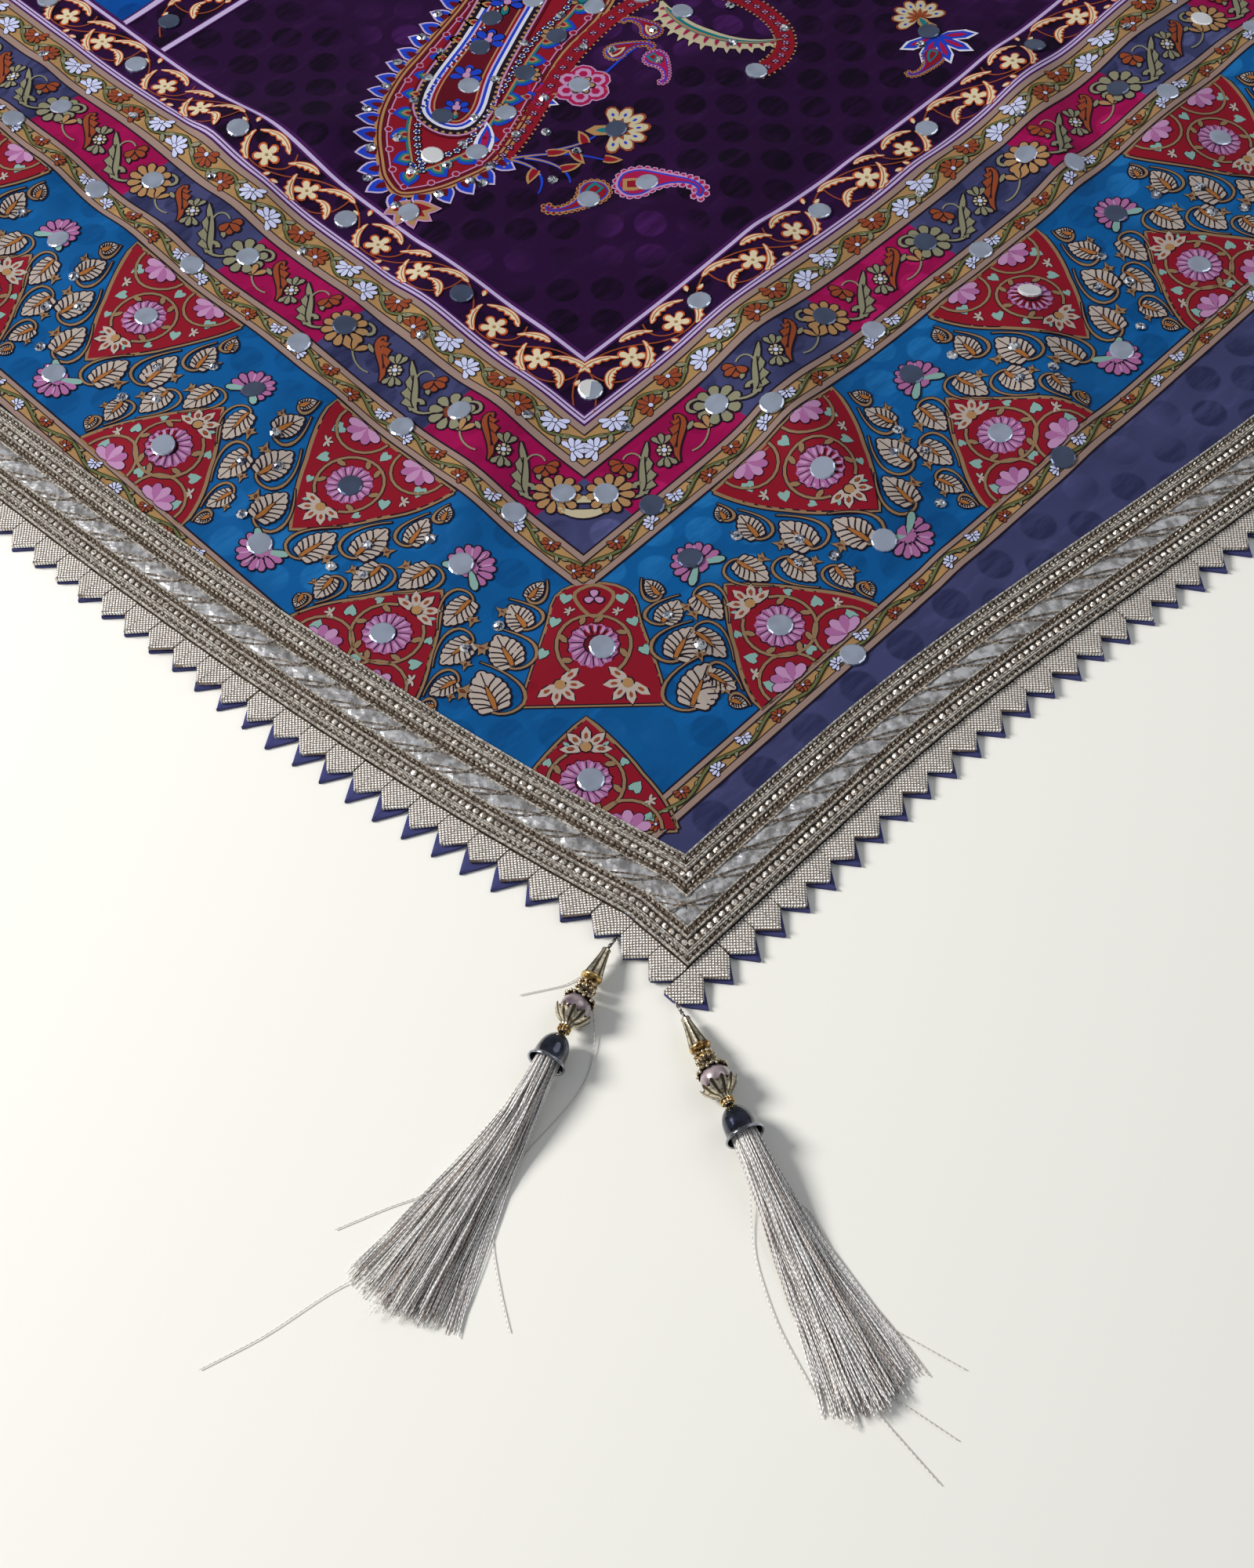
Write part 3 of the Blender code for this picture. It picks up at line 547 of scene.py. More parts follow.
def make_cloth(name, near, far, height, materials, turned):
    """One layer as a sheet of cells, each cell with its ground, trimmed to the cut of the cloth."""
    us, vs = cloth_lines(near, far)
    if turned:
        vs = np.concatenate([vs, FLAT_END + TURN * np.arange(1, 9) / 8])
    grid_v, grid_u = np.meshgrid(vs, us, indexing="ij")
    low_u = left_lace(grid_v) - LACE_WIDTH
    high_u = right_lace(grid_v) + LACE_WIDTH
    low_v = end_lace(grid_u) - LACE_WIDTH
    cut_u = np.clip(grid_u, low_u, high_u)
    cut_v = np.maximum(grid_v, low_v)
    points = height(cut_u, cut_v).reshape(-1, 3)
    rows, columns = grid_u.shape
    r, c = np.meshgrid(np.arange(rows - 1), np.arange(columns - 1), indexing="ij")
    first = (r * columns + c).ravel()
    faces = np.stack([first, first + 1, first + columns + 1, first + columns], 1)
    corners = points[faces]
    area = np.linalg.norm(np.cross(corners[:, 2] - corners[:, 0], corners[:, 3] - corners[:, 1]), axis=1)
    keep = area > 1e-9
    middle_u = (us[:-1] + us[1:]) / 2
    middle_v = (vs[:-1] + vs[1:]) / 2
    mv, mu = np.meshgrid(middle_v, middle_u, indexing="ij")
    slots = ground_of(mu, mv).ravel()
    faces = faces[keep]
    used = np.unique(faces)
    number = np.zeros(len(points), int)
    number[used] = np.arange(len(used))
    uv = np.stack([cut_u.ravel(), cut_v.ravel()], 1)[used]
    return make_mesh_object(name, points[used], number[faces], materials, slots[keep], uv)


# Lace. Places across it go from 0 at its inner edge to 1 at its outer edge
LACE_LIFT = 0.0003
LACE_TURN = 0.165  # blocks that the lace follows the cloth round the fold
Strip = namedtuple("Strip", "side start end")
STRIPS = (
    Strip("left", -2.9, FLAT_END + LACE_TURN),
    Strip("end", -2.1, 13.9),
    Strip("right", -3.2, FLAT_END + LACE_TURN),
)


def strip_place(strip, s, w):
    """(u, v) of places s along a strip and w across it."""
    out = w * LACE_WIDTH
    if strip.side == "left":
        return left_lace(s) - out, s + 0 * out
    if strip.side == "right":
        return right_lace(s) + out, s + 0 * out
    return s + 0 * out, end_lace(s) - out


def strip_limits(strip, w):
    """Where a strip starts and ends at w across it, at its mitres and at the fold."""
    out = w * LACE_WIDTH
    near_u = left_lace(np.float64(NEAR_CORNER)) - out
    far_u = ACROSS + BORDER + out
    if strip.side == "left":
        return end_lace(near_u) - out, strip.end
    if strip.side == "right":
        return end_lace(far_u) - out, strip.end
    return near_u, far_u


def on_strip(strip, s, w, lift):
    u, v = strip_place(strip, s, w)
    return on_cloth(u, v, LACE_LIFT + lift)


def run_along(heap, strip, across, lifts, slot, step=0.09):
    """A long face of the lace: lifts above the base at places across it, swept along the strip."""
    across = np.asarray(across, float)
    lifts = np.asarray(lifts, float)
    limits = [strip_limits(strip, w) for w in across]
    count = int((limits[0][1] - limits[0][0]) / step) + 2
    share = np.linspace(0, 1, count)
    lows = np.array([low for low, high in limits])
    highs = np.array([high for low, high in limits])
    s = lows[None, :] + share[:, None] * (highs - lows)[None, :]
    w = np.broadcast_to(across, s.shape)
    points = on_strip(strip, s, w, np.broadcast_to(lifts, s.shape))
    uv = np.stack([s, w * LACE_WIDTH], -1)
    heap.add(points, grid_faces(count, len(across)), slot, uv)


LUMP_BASE = 0.0002  # metres above the cloth


def lumps(heap, strip, low, high, pitch, tall, slot, rng, lean=0.5, sides=4, rows=2, fill=1.3):
    """Rows of small slanted lumps, as a braid or chain shows, each a low pyramid over its own base."""
    for row in range(rows):
        w_mid = low + (high - low) * (row + 0.5) / rows
        start, end = strip_limits(strip, w_mid)
        s = np.arange(start + pitch / 2 + row * pitch / 2, end - pitch / 2, pitch)
        n = len(s)
        half_w = (high - low) / rows / 2 * 0.94 * LACE_WIDTH
        half_s = pitch / 2 * 0.96
        angle = 2 * math.pi * (np.arange(sides) + 0.5) / sides
        ring_s = np.cos(angle) * half_s * fill
        ring_w = np.sin(angle) * half_w * fill
        tilt = lean * (1 if row % 2 else -1)
        off_s = ring_s[None, :] + tilt * ring_w[None, :] * rng.uniform(0.7, 1.3, (n, 1))
        off_w = np.broadcast_to(ring_w[None, :], off_s.shape) * rng.uniform(0.85, 1.05, (n, 1))
        base_points = on_strip(strip, s[:, None] + off_s, w_mid + off_w / LACE_WIDTH, LUMP_BASE)
        top_s = s + rng.uniform(-0.3, 0.3, n) * half_s
        top_w = w_mid + rng.uniform(-0.3, 0.3, n) * half_w / LACE_WIDTH
        tops = on_strip(strip, top_s, top_w, LUMP_BASE + tall * rng.uniform(0.75, 1.1, n))
        points = np.concatenate([base_points, tops[:, None, :]], 1)
        k = np.arange(sides)
        one = np.stack([k, (k + 1) % sides, np.full(sides, sides)], 1)
        faces = (one[None] + (np.arange(n) * (sides + 1))[:, None, None]).reshape(-1, 3)
        heap.add(points.reshape(-1, 3), faces, slot)


def make_foil(heap, strip, low, high, slot, rng):
    """Crumpled ribbon under the crossing cords."""
    across = np.linspace(low, high, 6)
    limits = [strip_limits(strip, w) for w in across]
    count = int((limits[0][1] - limits[0][0]) / 0.03)
    share = np.linspace(0, 1, count)
    s = np.array([[low_s + t * (high_s - low_s) for low_s, high_s in limits] for t in share])
    w = np.broadcast_to(across, s.shape)
    bulge = np.sin(np.pi * (w - low) / (high - low)) * 0.0005
    lift = 0.0003 + bulge + rng.uniform(-0.00022, 0.00022, s.shape)
    points = on_strip(strip, s + rng.uniform(-0.008, 0.008, s.shape), w, lift)
    heap.add(points, grid_faces(count, len(across)), slot, np.stack([s, w * LACE_WIDTH], -1))


def make_crossings(heap, strip, low, high, slot):
    """Thin cords that cross the foil in slanting leaf shapes."""
    pitch = 0.245
    start, end = strip_limits(strip, (low + high) / 2)
    for k in range(int((end - start) / pitch)):
        s0 = start + (k + 0.3) * pitch
        for lean, bow in ((1.15, 0.020), (-0.55, -0.030)):
            t = np.linspace(0, 1, 7)
            s = s0 + (t - 0.5) * pitch * lean + bow * np.sin(math.pi * t)
            w = low + (high - low) * (t if lean > 0 else 1 - t)
            side = 0.006
            points = np.concatenate(
                [
                    on_strip(strip, s - side, w, 0.0008),
                    on_strip(strip, s, w, 0.0015),
                    on_strip(strip, s + side, w, 0.0008),
                ]
            )
            faces = []
            for row in range(2):
                for j in range(6):
                    a = row * 7 + j
                    faces += [(a, a + 7, a + 8), (a, a + 8, a + 1)]
            heap.add(points, faces, slot)


CORD_HALF = 0.013  # of the lace's width
CORD_HEIGHT = 0.0009


def make_cord(heap, strip, w, slot):
    half = CORD_HALF
    across = (w - half, w - half * 0.6, w + half * 0.6, w + half)
    run_along(heap, strip, across, (0.0002, CORD_HEIGHT, CORD_HEIGHT, 0.0002), slot, 0.07)


CORDS_AT = (0.014, 0.120, 0.150, 0.262, 0.388, 0.664, 0.756, 0.882, 0.908, 0.986)


def make_lace(strip, materials, rng):
    heap = Heap()
    backing, cord, bright, brown, foil = range(5)
    run_along(heap, strip, (0.0, 0.0, 1.0, 1.0), (-0.0002, 0.0002, 0.0002, -0.0009), backing)
    for w in CORDS_AT:
        make_cord(heap, strip, w, cord)
    lumps(heap, strip, 0.028, 0.106, 0.034, 0.0007, bright, rng, fill=0.92)
    lumps(heap, strip, 0.160, 0.255, 0.052, 0.0008, bright, rng, 0.15, 6, 1, fill=0.84)
    lumps(heap, strip, 0.276, 0.376, 0.036, 0.0007, brown, rng, fill=0.92)
    make_foil(heap, strip, 0.392, 0.660, foil, rng)
    make_crossings(heap, strip, 0.394, 0.658, brown)
    lumps(heap, strip, 0.676, 0.746, 0.034, 0.0007, brown, rng, fill=0.92)
    lumps(heap, strip, 0.768, 0.874, 0.048, 0.0008, bright, rng, 0.15, 6, 1, fill=0.84)
    lumps(heap, strip, 0.920, 0.974, 0.034, 0.0007, bright, rng, fill=0.92)
    piece = heap.build("lace_" + strip.side + "_looks", materials, smooth=False, uv_name="lace")
    return stand_in(piece, "lace_" + strip.side)


def metal_thread(name, light, dark, scale, metallic, roughness):
    """Twisted metal thread: random bright and dark flecks of painted glint and shade, with a fine twist
    in its bump.
    """
    nodes = Nodes(name, light, roughness, metallic)
    place = nodes.place()
    glint_fleck = nodes.noise(place, scale, 3.0, 0.6)
    # Painted glints and shade: the flecks lighten and darken the colour.
    nodes.paint(nodes.mix(nodes.between(glint_fleck, 0.40, 0.62), dark, light))
    nodes.gloss(glint_fleck, 0.3, 0.7, roughness + 0.12, roughness - 0.08)
    nodes.bump(nodes.wave(place, 420.0, "DIAGONAL", 2.0), 0.35, 0.0001)
    return nodes.material


def gota_mesh():
    """Woven metal gauze of the folded teeth, its threads along the folds, with painted highlights and
    glints on it.
    """
    light, dark = rgb(255, 254, 250), rgb(124, 108, 94)
    nodes = Nodes("gota_mesh", light, 0.34, 0.25)
    uv = nodes.mapped(nodes.uv("lace"), (1.0, 1.0, 1.0), math.radians(45))
    # Knots lighter and gaps darker: partly the gauze's real weave, partly painted highlight and shade.
    warp = nodes.wave(uv, 19.0, "X", 0.6)
    weft = nodes.wave(uv, 19.0, "Y", 0.6)
    knots = nodes.math("MULTIPLY", warp, weft)
    # Painted glints: fine random flecks that lighten the colour.
    painted_glint = nodes.noise(nodes.mapped(uv, (80.0, 80.0, 1.0)), 1.0, 1.0)
    share = nodes.between(nodes.math("ADD", nodes.math("MULTIPLY", knots, 1.2), painted_glint), 0.55, 1.1)
    nodes.paint(nodes.mix(share, dark, light))
    nodes.gloss(painted_glint, 0.35, 0.65, 0.5, 0.24)
    nodes.bump(knots, 0.8, 0.0002)
    return nodes.material


TOOTH_STEPS = 4


def peek_of(strip, s):
    """How far a lower tooth reaches past the upper ones."""
    if strip.side == "left":
        return float(PEEK_LEFT * smoothstep((s + 2.4) / 0.8) * smoothstep((0.9 - s) / 1.2))
    return PEEK_END if strip.side == "end" else 0.0


def tooth_points(strip, upper, s, w, sag):
    """An upper tooth starts from its cloth's edge; a lower one lies flat, near the floor."""
    height = 0.0011 + sag * 0.6
    if upper:
        edge_u, edge_v = strip_place(strip, s, np.minimum(w, 1.0))
        height = on_cloth(edge_u, edge_v, sag - 0.0001)[..., 2]
    u, v = strip_place(strip, s, w)
    return np.stack([*metres(u, v), height], -1)


def tooth_strip(strip, upper, materials, rng):
    """One side's teeth, each with a fold down its middle and a slightly curled tip."""
    heap = Heap()
    start, end = strip_limits(strip, 1.0)
    if strip.side != "end":
        end = FLAT_END - 0.02
    else:
        start, end = start - 0.19, end + 0.19
    count = round((end - start) / TOOTH_PITCH)
    pitch = (end - start) / count
    rows = TOOTH_STEPS + 1
    t = np.linspace(0, 1, rows)
    a, b = np.meshgrid(t, t, indexing="ij")
    for k in range(count):
        s0 = start + k * pitch
        peek = 0.0 if upper else peek_of(strip, s0)
        reach = TOOTH_DEPTH + rng.uniform(-0.012, 0.006) + peek
        curl = rng.uniform(-0.0002, 0.0004) if upper else 0.0
        long = TOOTH_BASE + reach
        for sign in (-1, 1):
            middle_s = s0 + pitch / 2 + rng.uniform(-0.004, 0.004)
            narrowing = np.maximum(b - TOOTH_BASE / long, 0) / (reach / long)
            wide = pitch / 2 * np.minimum(1.0, 1.02 - narrowing)
            s = middle_s + sign * a * np.maximum(wide, 0)
            w = 1.0 + (0.006 + b * long) / LACE_WIDTH
            sag = -0.00045 * a**2 * b + curl * b**2 - 0.00012 * sign
            top = tooth_points(strip, upper, s, w, sag)
            uv = np.stack([s, w * LACE_WIDTH], -1)
            faces = grid_faces(rows, rows)
            if sign > 0:
                faces = faces[:, ::-1]
            heap.add(top.reshape(-1, 3), faces, 0, uv.reshape(-1, 2))
            rim = top[-1]
            wall = np.concatenate([rim, rim - np.array([0, 0, 0.0009])])
            heap.add(wall, grid_faces(2, rows), 0, np.concatenate([uv[-1]] * 2))
    name = ("teeth_" if upper else "under_teeth_") + strip.side
    piece = heap.build(name + "_looks", materials, smooth=False, uv_name="lace" if upper else "cloth")
    return stand_in(piece, name)


# Inks of the print
INKS = {
    "dark": rgb(26, 18, 30),
    "cream": rgb(172, 162, 136),
    "olive": rgb(122, 120, 98),
    "ochre": rgb(152, 116, 78),
    "rust": rgb(130, 62, 36),
    "brown": rgb(104, 50, 30),
    "ice": rgb(182, 186, 216),
    "pink_tan": rgb(136, 114, 106),
    "gold": rgb(128, 102, 76),
    "vine": rgb(88, 94, 56),
    "lavender": rgb(172, 156, 192),
    "plum": rgb(58, 20, 72),
    "ivory": rgb(196, 184, 154),
    "flame": rgb(172, 76, 34),
    "red": rgb(122, 17, 33),
    "deep_red": rgb(82, 12, 26),
    "pink": rgb(150, 92, 138),
    "light_pink": rgb(168, 124, 162),
    "mint": rgb(118, 152, 146),
    "leaf": rgb(162, 150, 142),
    "rib": rgb(146, 92, 46),
    "royal": rgb(26, 56, 170),
    "white": rgb(196, 194, 210),
    "rose": rgb(146, 20, 66),
    "teal": rgb(22, 102, 112),
}
INK_NAMES = list(INKS)
INK_LIFT = 0.00011
LAYER_LIFT = 0.00006
OUTLINE = 0.010


def curve(p0, p1, p2, p3, count=9):
    """Points along a Bezier curve."""
    t = np.linspace(0, 1, count)[:, None]
    p0, p1, p2, p3 = (np.array(p, float) for p in (p0, p1, p2, p3))
    return (1 - t) ** 3 * p0 + 3 * (1 - t) ** 2 * t * p1 + 3 * (1 - t) * t**2 * p2 + t**3 * p3


def arc(x, y, radius, start, end, count=12):
    angle = np.radians(np.linspace(start, end, count))
    return np.stack([x + radius * np.cos(angle), y + radius * np.sin(angle)], 1)


def toward(turn, far, x=0.0, y=0.0):
    """The place at a distance far from (x, y), on the heading turn, in degrees."""
    return x + far * math.cos(math.radians(turn)), y + far * math.sin(math.radians(turn))


def grown(outline, by):
    """A closed outline moved out by a distance; its corners may run either way round."""
    outline = np.asarray(outline, float)
    before, after = np.roll(outline, 1, 0), np.roll(outline, -1, 0)
    along = after - before
    along /= np.linalg.norm(along, axis=1)[:, None] + 1e-12
    x, y = outline[:, 0], outline[:, 1]
    area = np.sum(x * np.roll(y, -1) - np.roll(x, -1) * y)
    normal = np.stack([along[:, 1], -along[:, 0]], 1) * (1 if area > 0 else -1)
    return outline + normal * by


CELL = 0.06  # blocks between the points inside a filled shape


class Drawing:
    """A motif as flat triangles: x along its band, y inward, each with its ink and its layer."""

    def __init__(self):
        self.points = np.zeros((0, 2))
        self.layers = np.zeros(0)
        self.faces = np.zeros((0, 3), int)
        self.inks = np.zeros(0, int)

    def add(self, points, faces, inks, layers):
        start = len(self.points)
        faces = np.asarray(faces, int).reshape(-1, 3)
        self.points = np.concatenate([self.points, np.asarray(points, float)])
        self.layers = np.concatenate([self.layers, np.broadcast_to(layers, len(points))])
        self.faces = np.concatenate([self.faces, faces + start])
        inks = INK_NAMES.index(inks) if isinstance(inks, str) else inks
        self.inks = np.concatenate([self.inks, np.broadcast_to(inks, len(faces))])

    def fan(self, outline, ink, layer, rim=None):
        """A shape that its middle sees all of, with a dark rim under it unless rim is 0."""
        outline = np.asarray(outline, float)
        rim = OUTLINE if rim is None else rim
        if rim:
            self.fan(grown(outline, rim), "dark", layer - 1, 0)
        n = len(outline)
        middle = outline.mean(0)
        k = np.arange(n)
        self.add(np.vstack([outline, middle]), np.stack([k, (k + 1) % n, np.full(n, n)], 1), ink, layer)

    def disc(self, x, y, radius, end, count, ink, layer, rim=None):
        """A small round shape with count corners, from angle 0 to end."""
        self.fan(arc(x, y, radius, 0, end, count), ink, layer, rim)

    def leaf(self, x, y, heading, long, wide, ink, layer, rim=None, blunt=0.0):
        """A petal or leaf that starts at (x, y) and points to heading, in degrees."""
        t = np.array([0.0, 0.3, 0.72, 1.0, 0.72, 0.3])
        side = np.array([0.0, 0.40, 0.42, 0.0, -0.42, -0.40])
        if blunt:
            t = np.array([0.0, 0.35, 0.75, 0.95, 1.0, 0.95, 0.75, 0.35])
            side = np.array([0.06, 0.36, 0.50, 0.30, 0.0, -0.30, -0.50, -0.36])
        turn = math.radians(heading)
        ahead = np.array([math.cos(turn), math.sin(turn)])
        across = np.array([-math.sin(turn), math.cos(turn)])
        outline = np.array([x, y]) + t[:, None] * long * ahead + side[:, None] * wide * across
        self.fan(outline, ink, layer, rim)

    def flame(self, x, y, heading, long, wide, ink, layer, rim=0.0):
        """A pointed petal with a full round base, its tip bent a little to its left."""
        up = curve(
            (0.0, -0.42 * wide), (0.45 * long, -0.62 * wide), (0.80 * long, -0.25 * wide),
            (long, 0.16 * wide), 5
        )
        down = curve(
            (long, 0.16 * wide), (0.62 * long, 0.30 * wide), (0.40 * long, 0.56 * wide),
            (0.0, 0.42 * wide), 5
        )[1:]
        self.fan(moved(np.vstack([up, down]), x, y, heading), ink, layer, rim)

    def flames(self, x, y, heading, rows):
        """Flames in one another, each with its length, width, ink and layer."""
        for long, wide, ink, layer in rows:
            self.flame(x, y, heading, long, wide, ink, layer)

    def stroke(self, spine, left, right, ink, layer, rim=None):
        """A band along a line, left and right of it by widths that may change on the way."""
        spine = np.asarray(spine, float)
        rim = OUTLINE if rim is None else rim
        if rim:
            ends = np.vstack([2 * spine[0] - spine[1], 2 * spine[-1] - spine[-2]])
            run = [np.linalg.norm(spine[0] - spine[1]), np.linalg.norm(spine[-1] - spine[-2])]
            first = spine[0] + (ends[0] - spine[0]) * min(1, rim / (run[0] + 1e-9))
            last = spine[-1] + (ends[1] - spine[-1]) * min(1, rim / (run[1] + 1e-9))
            longer = np.vstack([first, spine[1:-1], last])
            self.stroke(longer, np.asarray(left) + rim, np.asarray(right) + rim, "dark", layer - 1, 0)
        along = np.gradient(spine, axis=0)
        along /= np.linalg.norm(along, axis=1)[:, None] + 1e-12
        across = np.stack([-along[:, 1], along[:, 0]], 1)
        n = len(spine)
        left, right = np.broadcast_to(left, n), np.broadcast_to(right, n)
        points = np.concatenate([spine + across * left[:, None], spine - across * right[:, None]])
        k = np.arange(n - 1)
        faces = np.concatenate([np.stack([k, k + 1, k + n + 1], 1), np.stack([k, k + n + 1, k + n], 1)])
        self.add(points, faces, ink, layer)

    def line(self, spine, width, ink="dark", layer=2):
        self.stroke(spine, width / 2, width / 2, ink, layer, 0)

    def fill(self, outline, ink, layer, rim):
        """Any closed shape, cut into triangles small enough to follow the cloth."""
        outline = np.asarray(outline, float)
        if rim:
            self.stroke(np.vstack([outline, outline[:2]]), rim, rim, "dark", layer - 1, 0)
        outline = [Vector(p) for p in outline]
        low, high = np.min(np.array(outline), 0), np.max(np.array(outline), 0)
        across, along = (np.arange(low[k] + CELL / 2, high[k], CELL) for k in (0, 1))
        inside = [Vector((x, y)) for x in across for y in along]
        verts, _, faces, *_ = delaunay_2d_cdt(outline + inside, [], [list(range(len(outline)))], 1, 1e-6)
        self.add(np.array([(p.x, p.y) for p in verts]), [tuple(f) for f in faces], ink, layer)

    def rosette(
        self, x, y, petals, radius, wide, ink, layer, start=0.0, spread=360.0, core=None, inner=0.0,
        rim=None
    ):
        """Petals round a point, every second one over its neighbours so that its dark rim shows."""
        for k in range(petals):
            share = k / petals if spread >= 360 else (k / (petals - 1) - 0.5 if petals > 1 else 0)
            turn = start + spread * share
            self.leaf(
                *toward(turn, inner, x, y), turn, radius - inner, wide, ink, layer + 1.2 * (k % 2), rim,
                1.0
            )
        if core is not None:
            self.fan(arc(x, y, core[1], 0, 330, 7), core[0], layer + 2.6, OUTLINE * 0.6)

    def put(self, other, x, y, heading=0.0, scale=1.0, flip=False):
        points = moved(other.points, x, y, heading, scale, flip)
        self.add(points, other.faces, other.inks, other.layers)


def moved(points, x, y, heading=0.0, scale=1.0, flip=False):
    """Points turned by heading in degrees, scaled and moved; flip mirrors x first."""
    px = points[:, 0] * (-1 if flip else 1) * scale
    py = points[:, 1] * scale
    turn = math.radians(heading)
    return np.stack(
        [x + px * math.cos(turn) - py * math.sin(turn), y + px * math.sin(turn) + py * math.cos(turn)], 1
    )


def to_cloth(side, along, inward):
    """(u, v) of a place on one side of the border, or of one given as (u, v) itself."""
    if side == "left":
        return inward, along
    if side == "right":
        return ACROSS - inward, along
    return along, inward


HIDDEN_UNDER_LACE = 0.12  # blocks of the print that go on under the lace


class Print:
    """Motifs laid on the cloth, gathered for one mesh."""

    def __init__(self):
        self.u, self.v, self.layers, self.faces, self.inks = [], [], [], [], []
        self.count = 0

    def stamp(self, drawing, side, along, inward, heading=0.0, scale=1.0, flip=False):
        points = moved(drawing.points, along, inward, heading, scale, flip)
        u, v = to_cloth(side, points[:, 0], points[:, 1])
        self.u.append(u)
        self.v.append(v)
        self.layers.append(drawing.layers)
        self.faces.append(drawing.faces + self.count)
        self.inks.append(drawing.inks)
        self.count += len(u)

    def build(self, name, materials):
        u, v = np.concatenate(self.u), np.concatenate(self.v)
        layers = np.concatenate(self.layers)
        faces, inks = np.concatenate(self.faces), np.concatenate(self.inks)
        mu, mv = u[faces].mean(1), v[faces].mean(1)
        shown = within_lace(mu, mv, -HIDDEN_UNDER_LACE)
        shown &= mv < FLAT_END + 0.9 * TURN
        faces, inks = faces[shown], inks[shown]
        a, b, c = (np.stack([u, v], 1)[faces[:, k]] for k in range(3))
        turned = (b[:, 0] - a[:, 0]) * (c[:, 1] - a[:, 1]) - (b[:, 1] - a[:, 1]) * (c[:, 0] - a[:, 0])
        faces = np.where((turned < 0)[:, None], faces[:, ::-1], faces)
        used, faces = np.unique(faces, return_inverse=True)
        faces = faces.reshape(-1, 3)
        u, v, layers = u[used], v[used], layers[used]
        points = on_cloth(u, v, INK_LIFT + LAYER_LIFT * layers)
        shown_inks, slots = np.unique(inks, return_inverse=True)
        piece = make_mesh_object(
            name, points, faces, [materials[k] for k in shown_inks], slots, np.stack([u, v], 1)
        )
        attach(piece, "root")
        return piece


STRIPE_ENDS = FLAT_END + 0.85 * TURN
SIDE_POINTS, END_POINTS = 260, 150


def nested(inward):
    """The three sides' path at one distance inward, as (u, v), from one fold end to the other."""
    up = np.linspace(0, 1, SIDE_POINTS)
    left = np.stack([np.full(SIDE_POINTS, inward), STRIPE_ENDS + (inward - STRIPE_ENDS) * up], 1)
    along = inward + (ACROSS - 2 * inward) * np.linspace(0, 1, END_POINTS)
    across = np.stack([along, np.full(END_POINTS, inward)], 1)
    right = np.stack([np.full(SIDE_POINTS, ACROSS - inward), inward + (STRIPE_ENDS - inward) * up], 1)
    return np.concatenate([left, across[1:-1], right])


def border_stripe(page, low, high, ink, layer):
    """A stripe round the three sides between two distances inward."""
    inner, outer = nested(high), nested(low)
    n = len(inner)
    k = np.arange(n - 1)
    drawing = Drawing()
    faces = np.concatenate([np.stack([k, k + 1, k + n + 1], 1), np.stack([k, k + n + 1, k + n], 1)])
    drawing.add(np.concatenate([inner, outer]), faces, ink, layer)
    page.stamp(drawing, "end", 0, 0)


Stripe = namedtuple("Stripe", "low high ink")
STRIPES = [Stripe(*row) for row in (
    (-0.006, 0.006, "dark"), (0.006, 0.056, "pink_tan"), (0.056, 0.064, "dark"),
    (0.232, 0.240, "dark"), (0.240, 0.284, "pink_tan"), (0.284, 0.300, "plum"),
    (0.300, 0.318, "lavender"), (0.318, 0.328, "plum"), (0.328, 0.342, "lavender"),
    (0.342, 0.356, "plum"), (0.644, 0.660, "plum"), (0.660, 0.686, "lavender"),
    (0.686, 0.712, "plum"), (-0.423, -0.411, "dark"), (-0.460, -0.423, "pink_tan"),
    (-0.467, -0.460, "dark"), (-0.577, -0.570, "dark"), (-0.614, -0.577, "pink_tan"),
    (-0.626, -0.614, "dark"), (-1.926, -1.914, "dark"), (-1.955, -1.926, "pink_tan"),
    (-1.962, -1.955, "dark"), (-2.058, -2.051, "dark"), (-2.094, -2.058, "pink_tan"),
    (-2.106, -2.094, "dark"),
)]


def lotus_bud(petals, ink, size):
    """The vine's fan-shaped flower, pointing along +y."""
    made = Drawing()
    made.rosette(0, -0.3 * size, petals, size * 1.30, size * 0.50, ink, 3, 90, 220, None, 0.0, 0.0055)
    made.disc(0, -0.32 * size, size * 0.24, 300, 6, "ice", 6, 0.005)
    return made


def vine_unit(wide, first, second):
    """One block of vine with four flowers; its ground is as wide as given."""
    made = Drawing()
    x = np.linspace(0, 1, 25)
    spine = np.stack([x, 0.30 * wide * np.cos(2 * math.pi * x * 2)], 1)
    made.stroke(spine, 0.0085, 0.0085, "vine", 3, 0.006)
    flowers = (lotus_bud(7, first, wide * 0.40), lotus_bud(7, second, wide * 0.38))
    for k in range(4):
        up = 1 if k % 2 else -1
        made.put(flowers[k // 2], 0.125 + 0.25 * k - 0.125, up * 0.12 * wide, 90 + up * 70, 1.0)
        for lean, place in ((38, 0.085), (142, 0.165)):
            at_x = 0.25 * k + place
            at_y = 0.30 * wide * math.cos(2 * math.pi * at_x * 2)
            made.leaf(at_x, at_y, lean if up > 0 else -lean, wide * 0.42, wide * 0.20, "olive", 3, 0.006)
    return made


def sunflower(ink, petals):
    made = Drawing()
    made.rosette(0, 0, petals, 0.150, 0.60 / petals, ink, 3, 15, 360, ("brown", 0.055), 0.05)
    return made


def hook():
    """A spiral hook that leaves a sunflower."""
    made = Drawing()
    spine = np.vstack(
        [
            curve((0, 0), (0.05, -0.07), (0.15, -0.08), (0.165, -0.01), 8),
            curve((0.165, -0.01), (0.165, 0.035), (0.11, 0.045), (0.10, 0.01), 6)[1:]
        ]
    )
    widths = np.concatenate([np.linspace(0.006, 0.013, 8), np.linspace(0.013, 0.016, 5)])
    made.stroke(spine, widths, widths, "olive", 3)
    return made


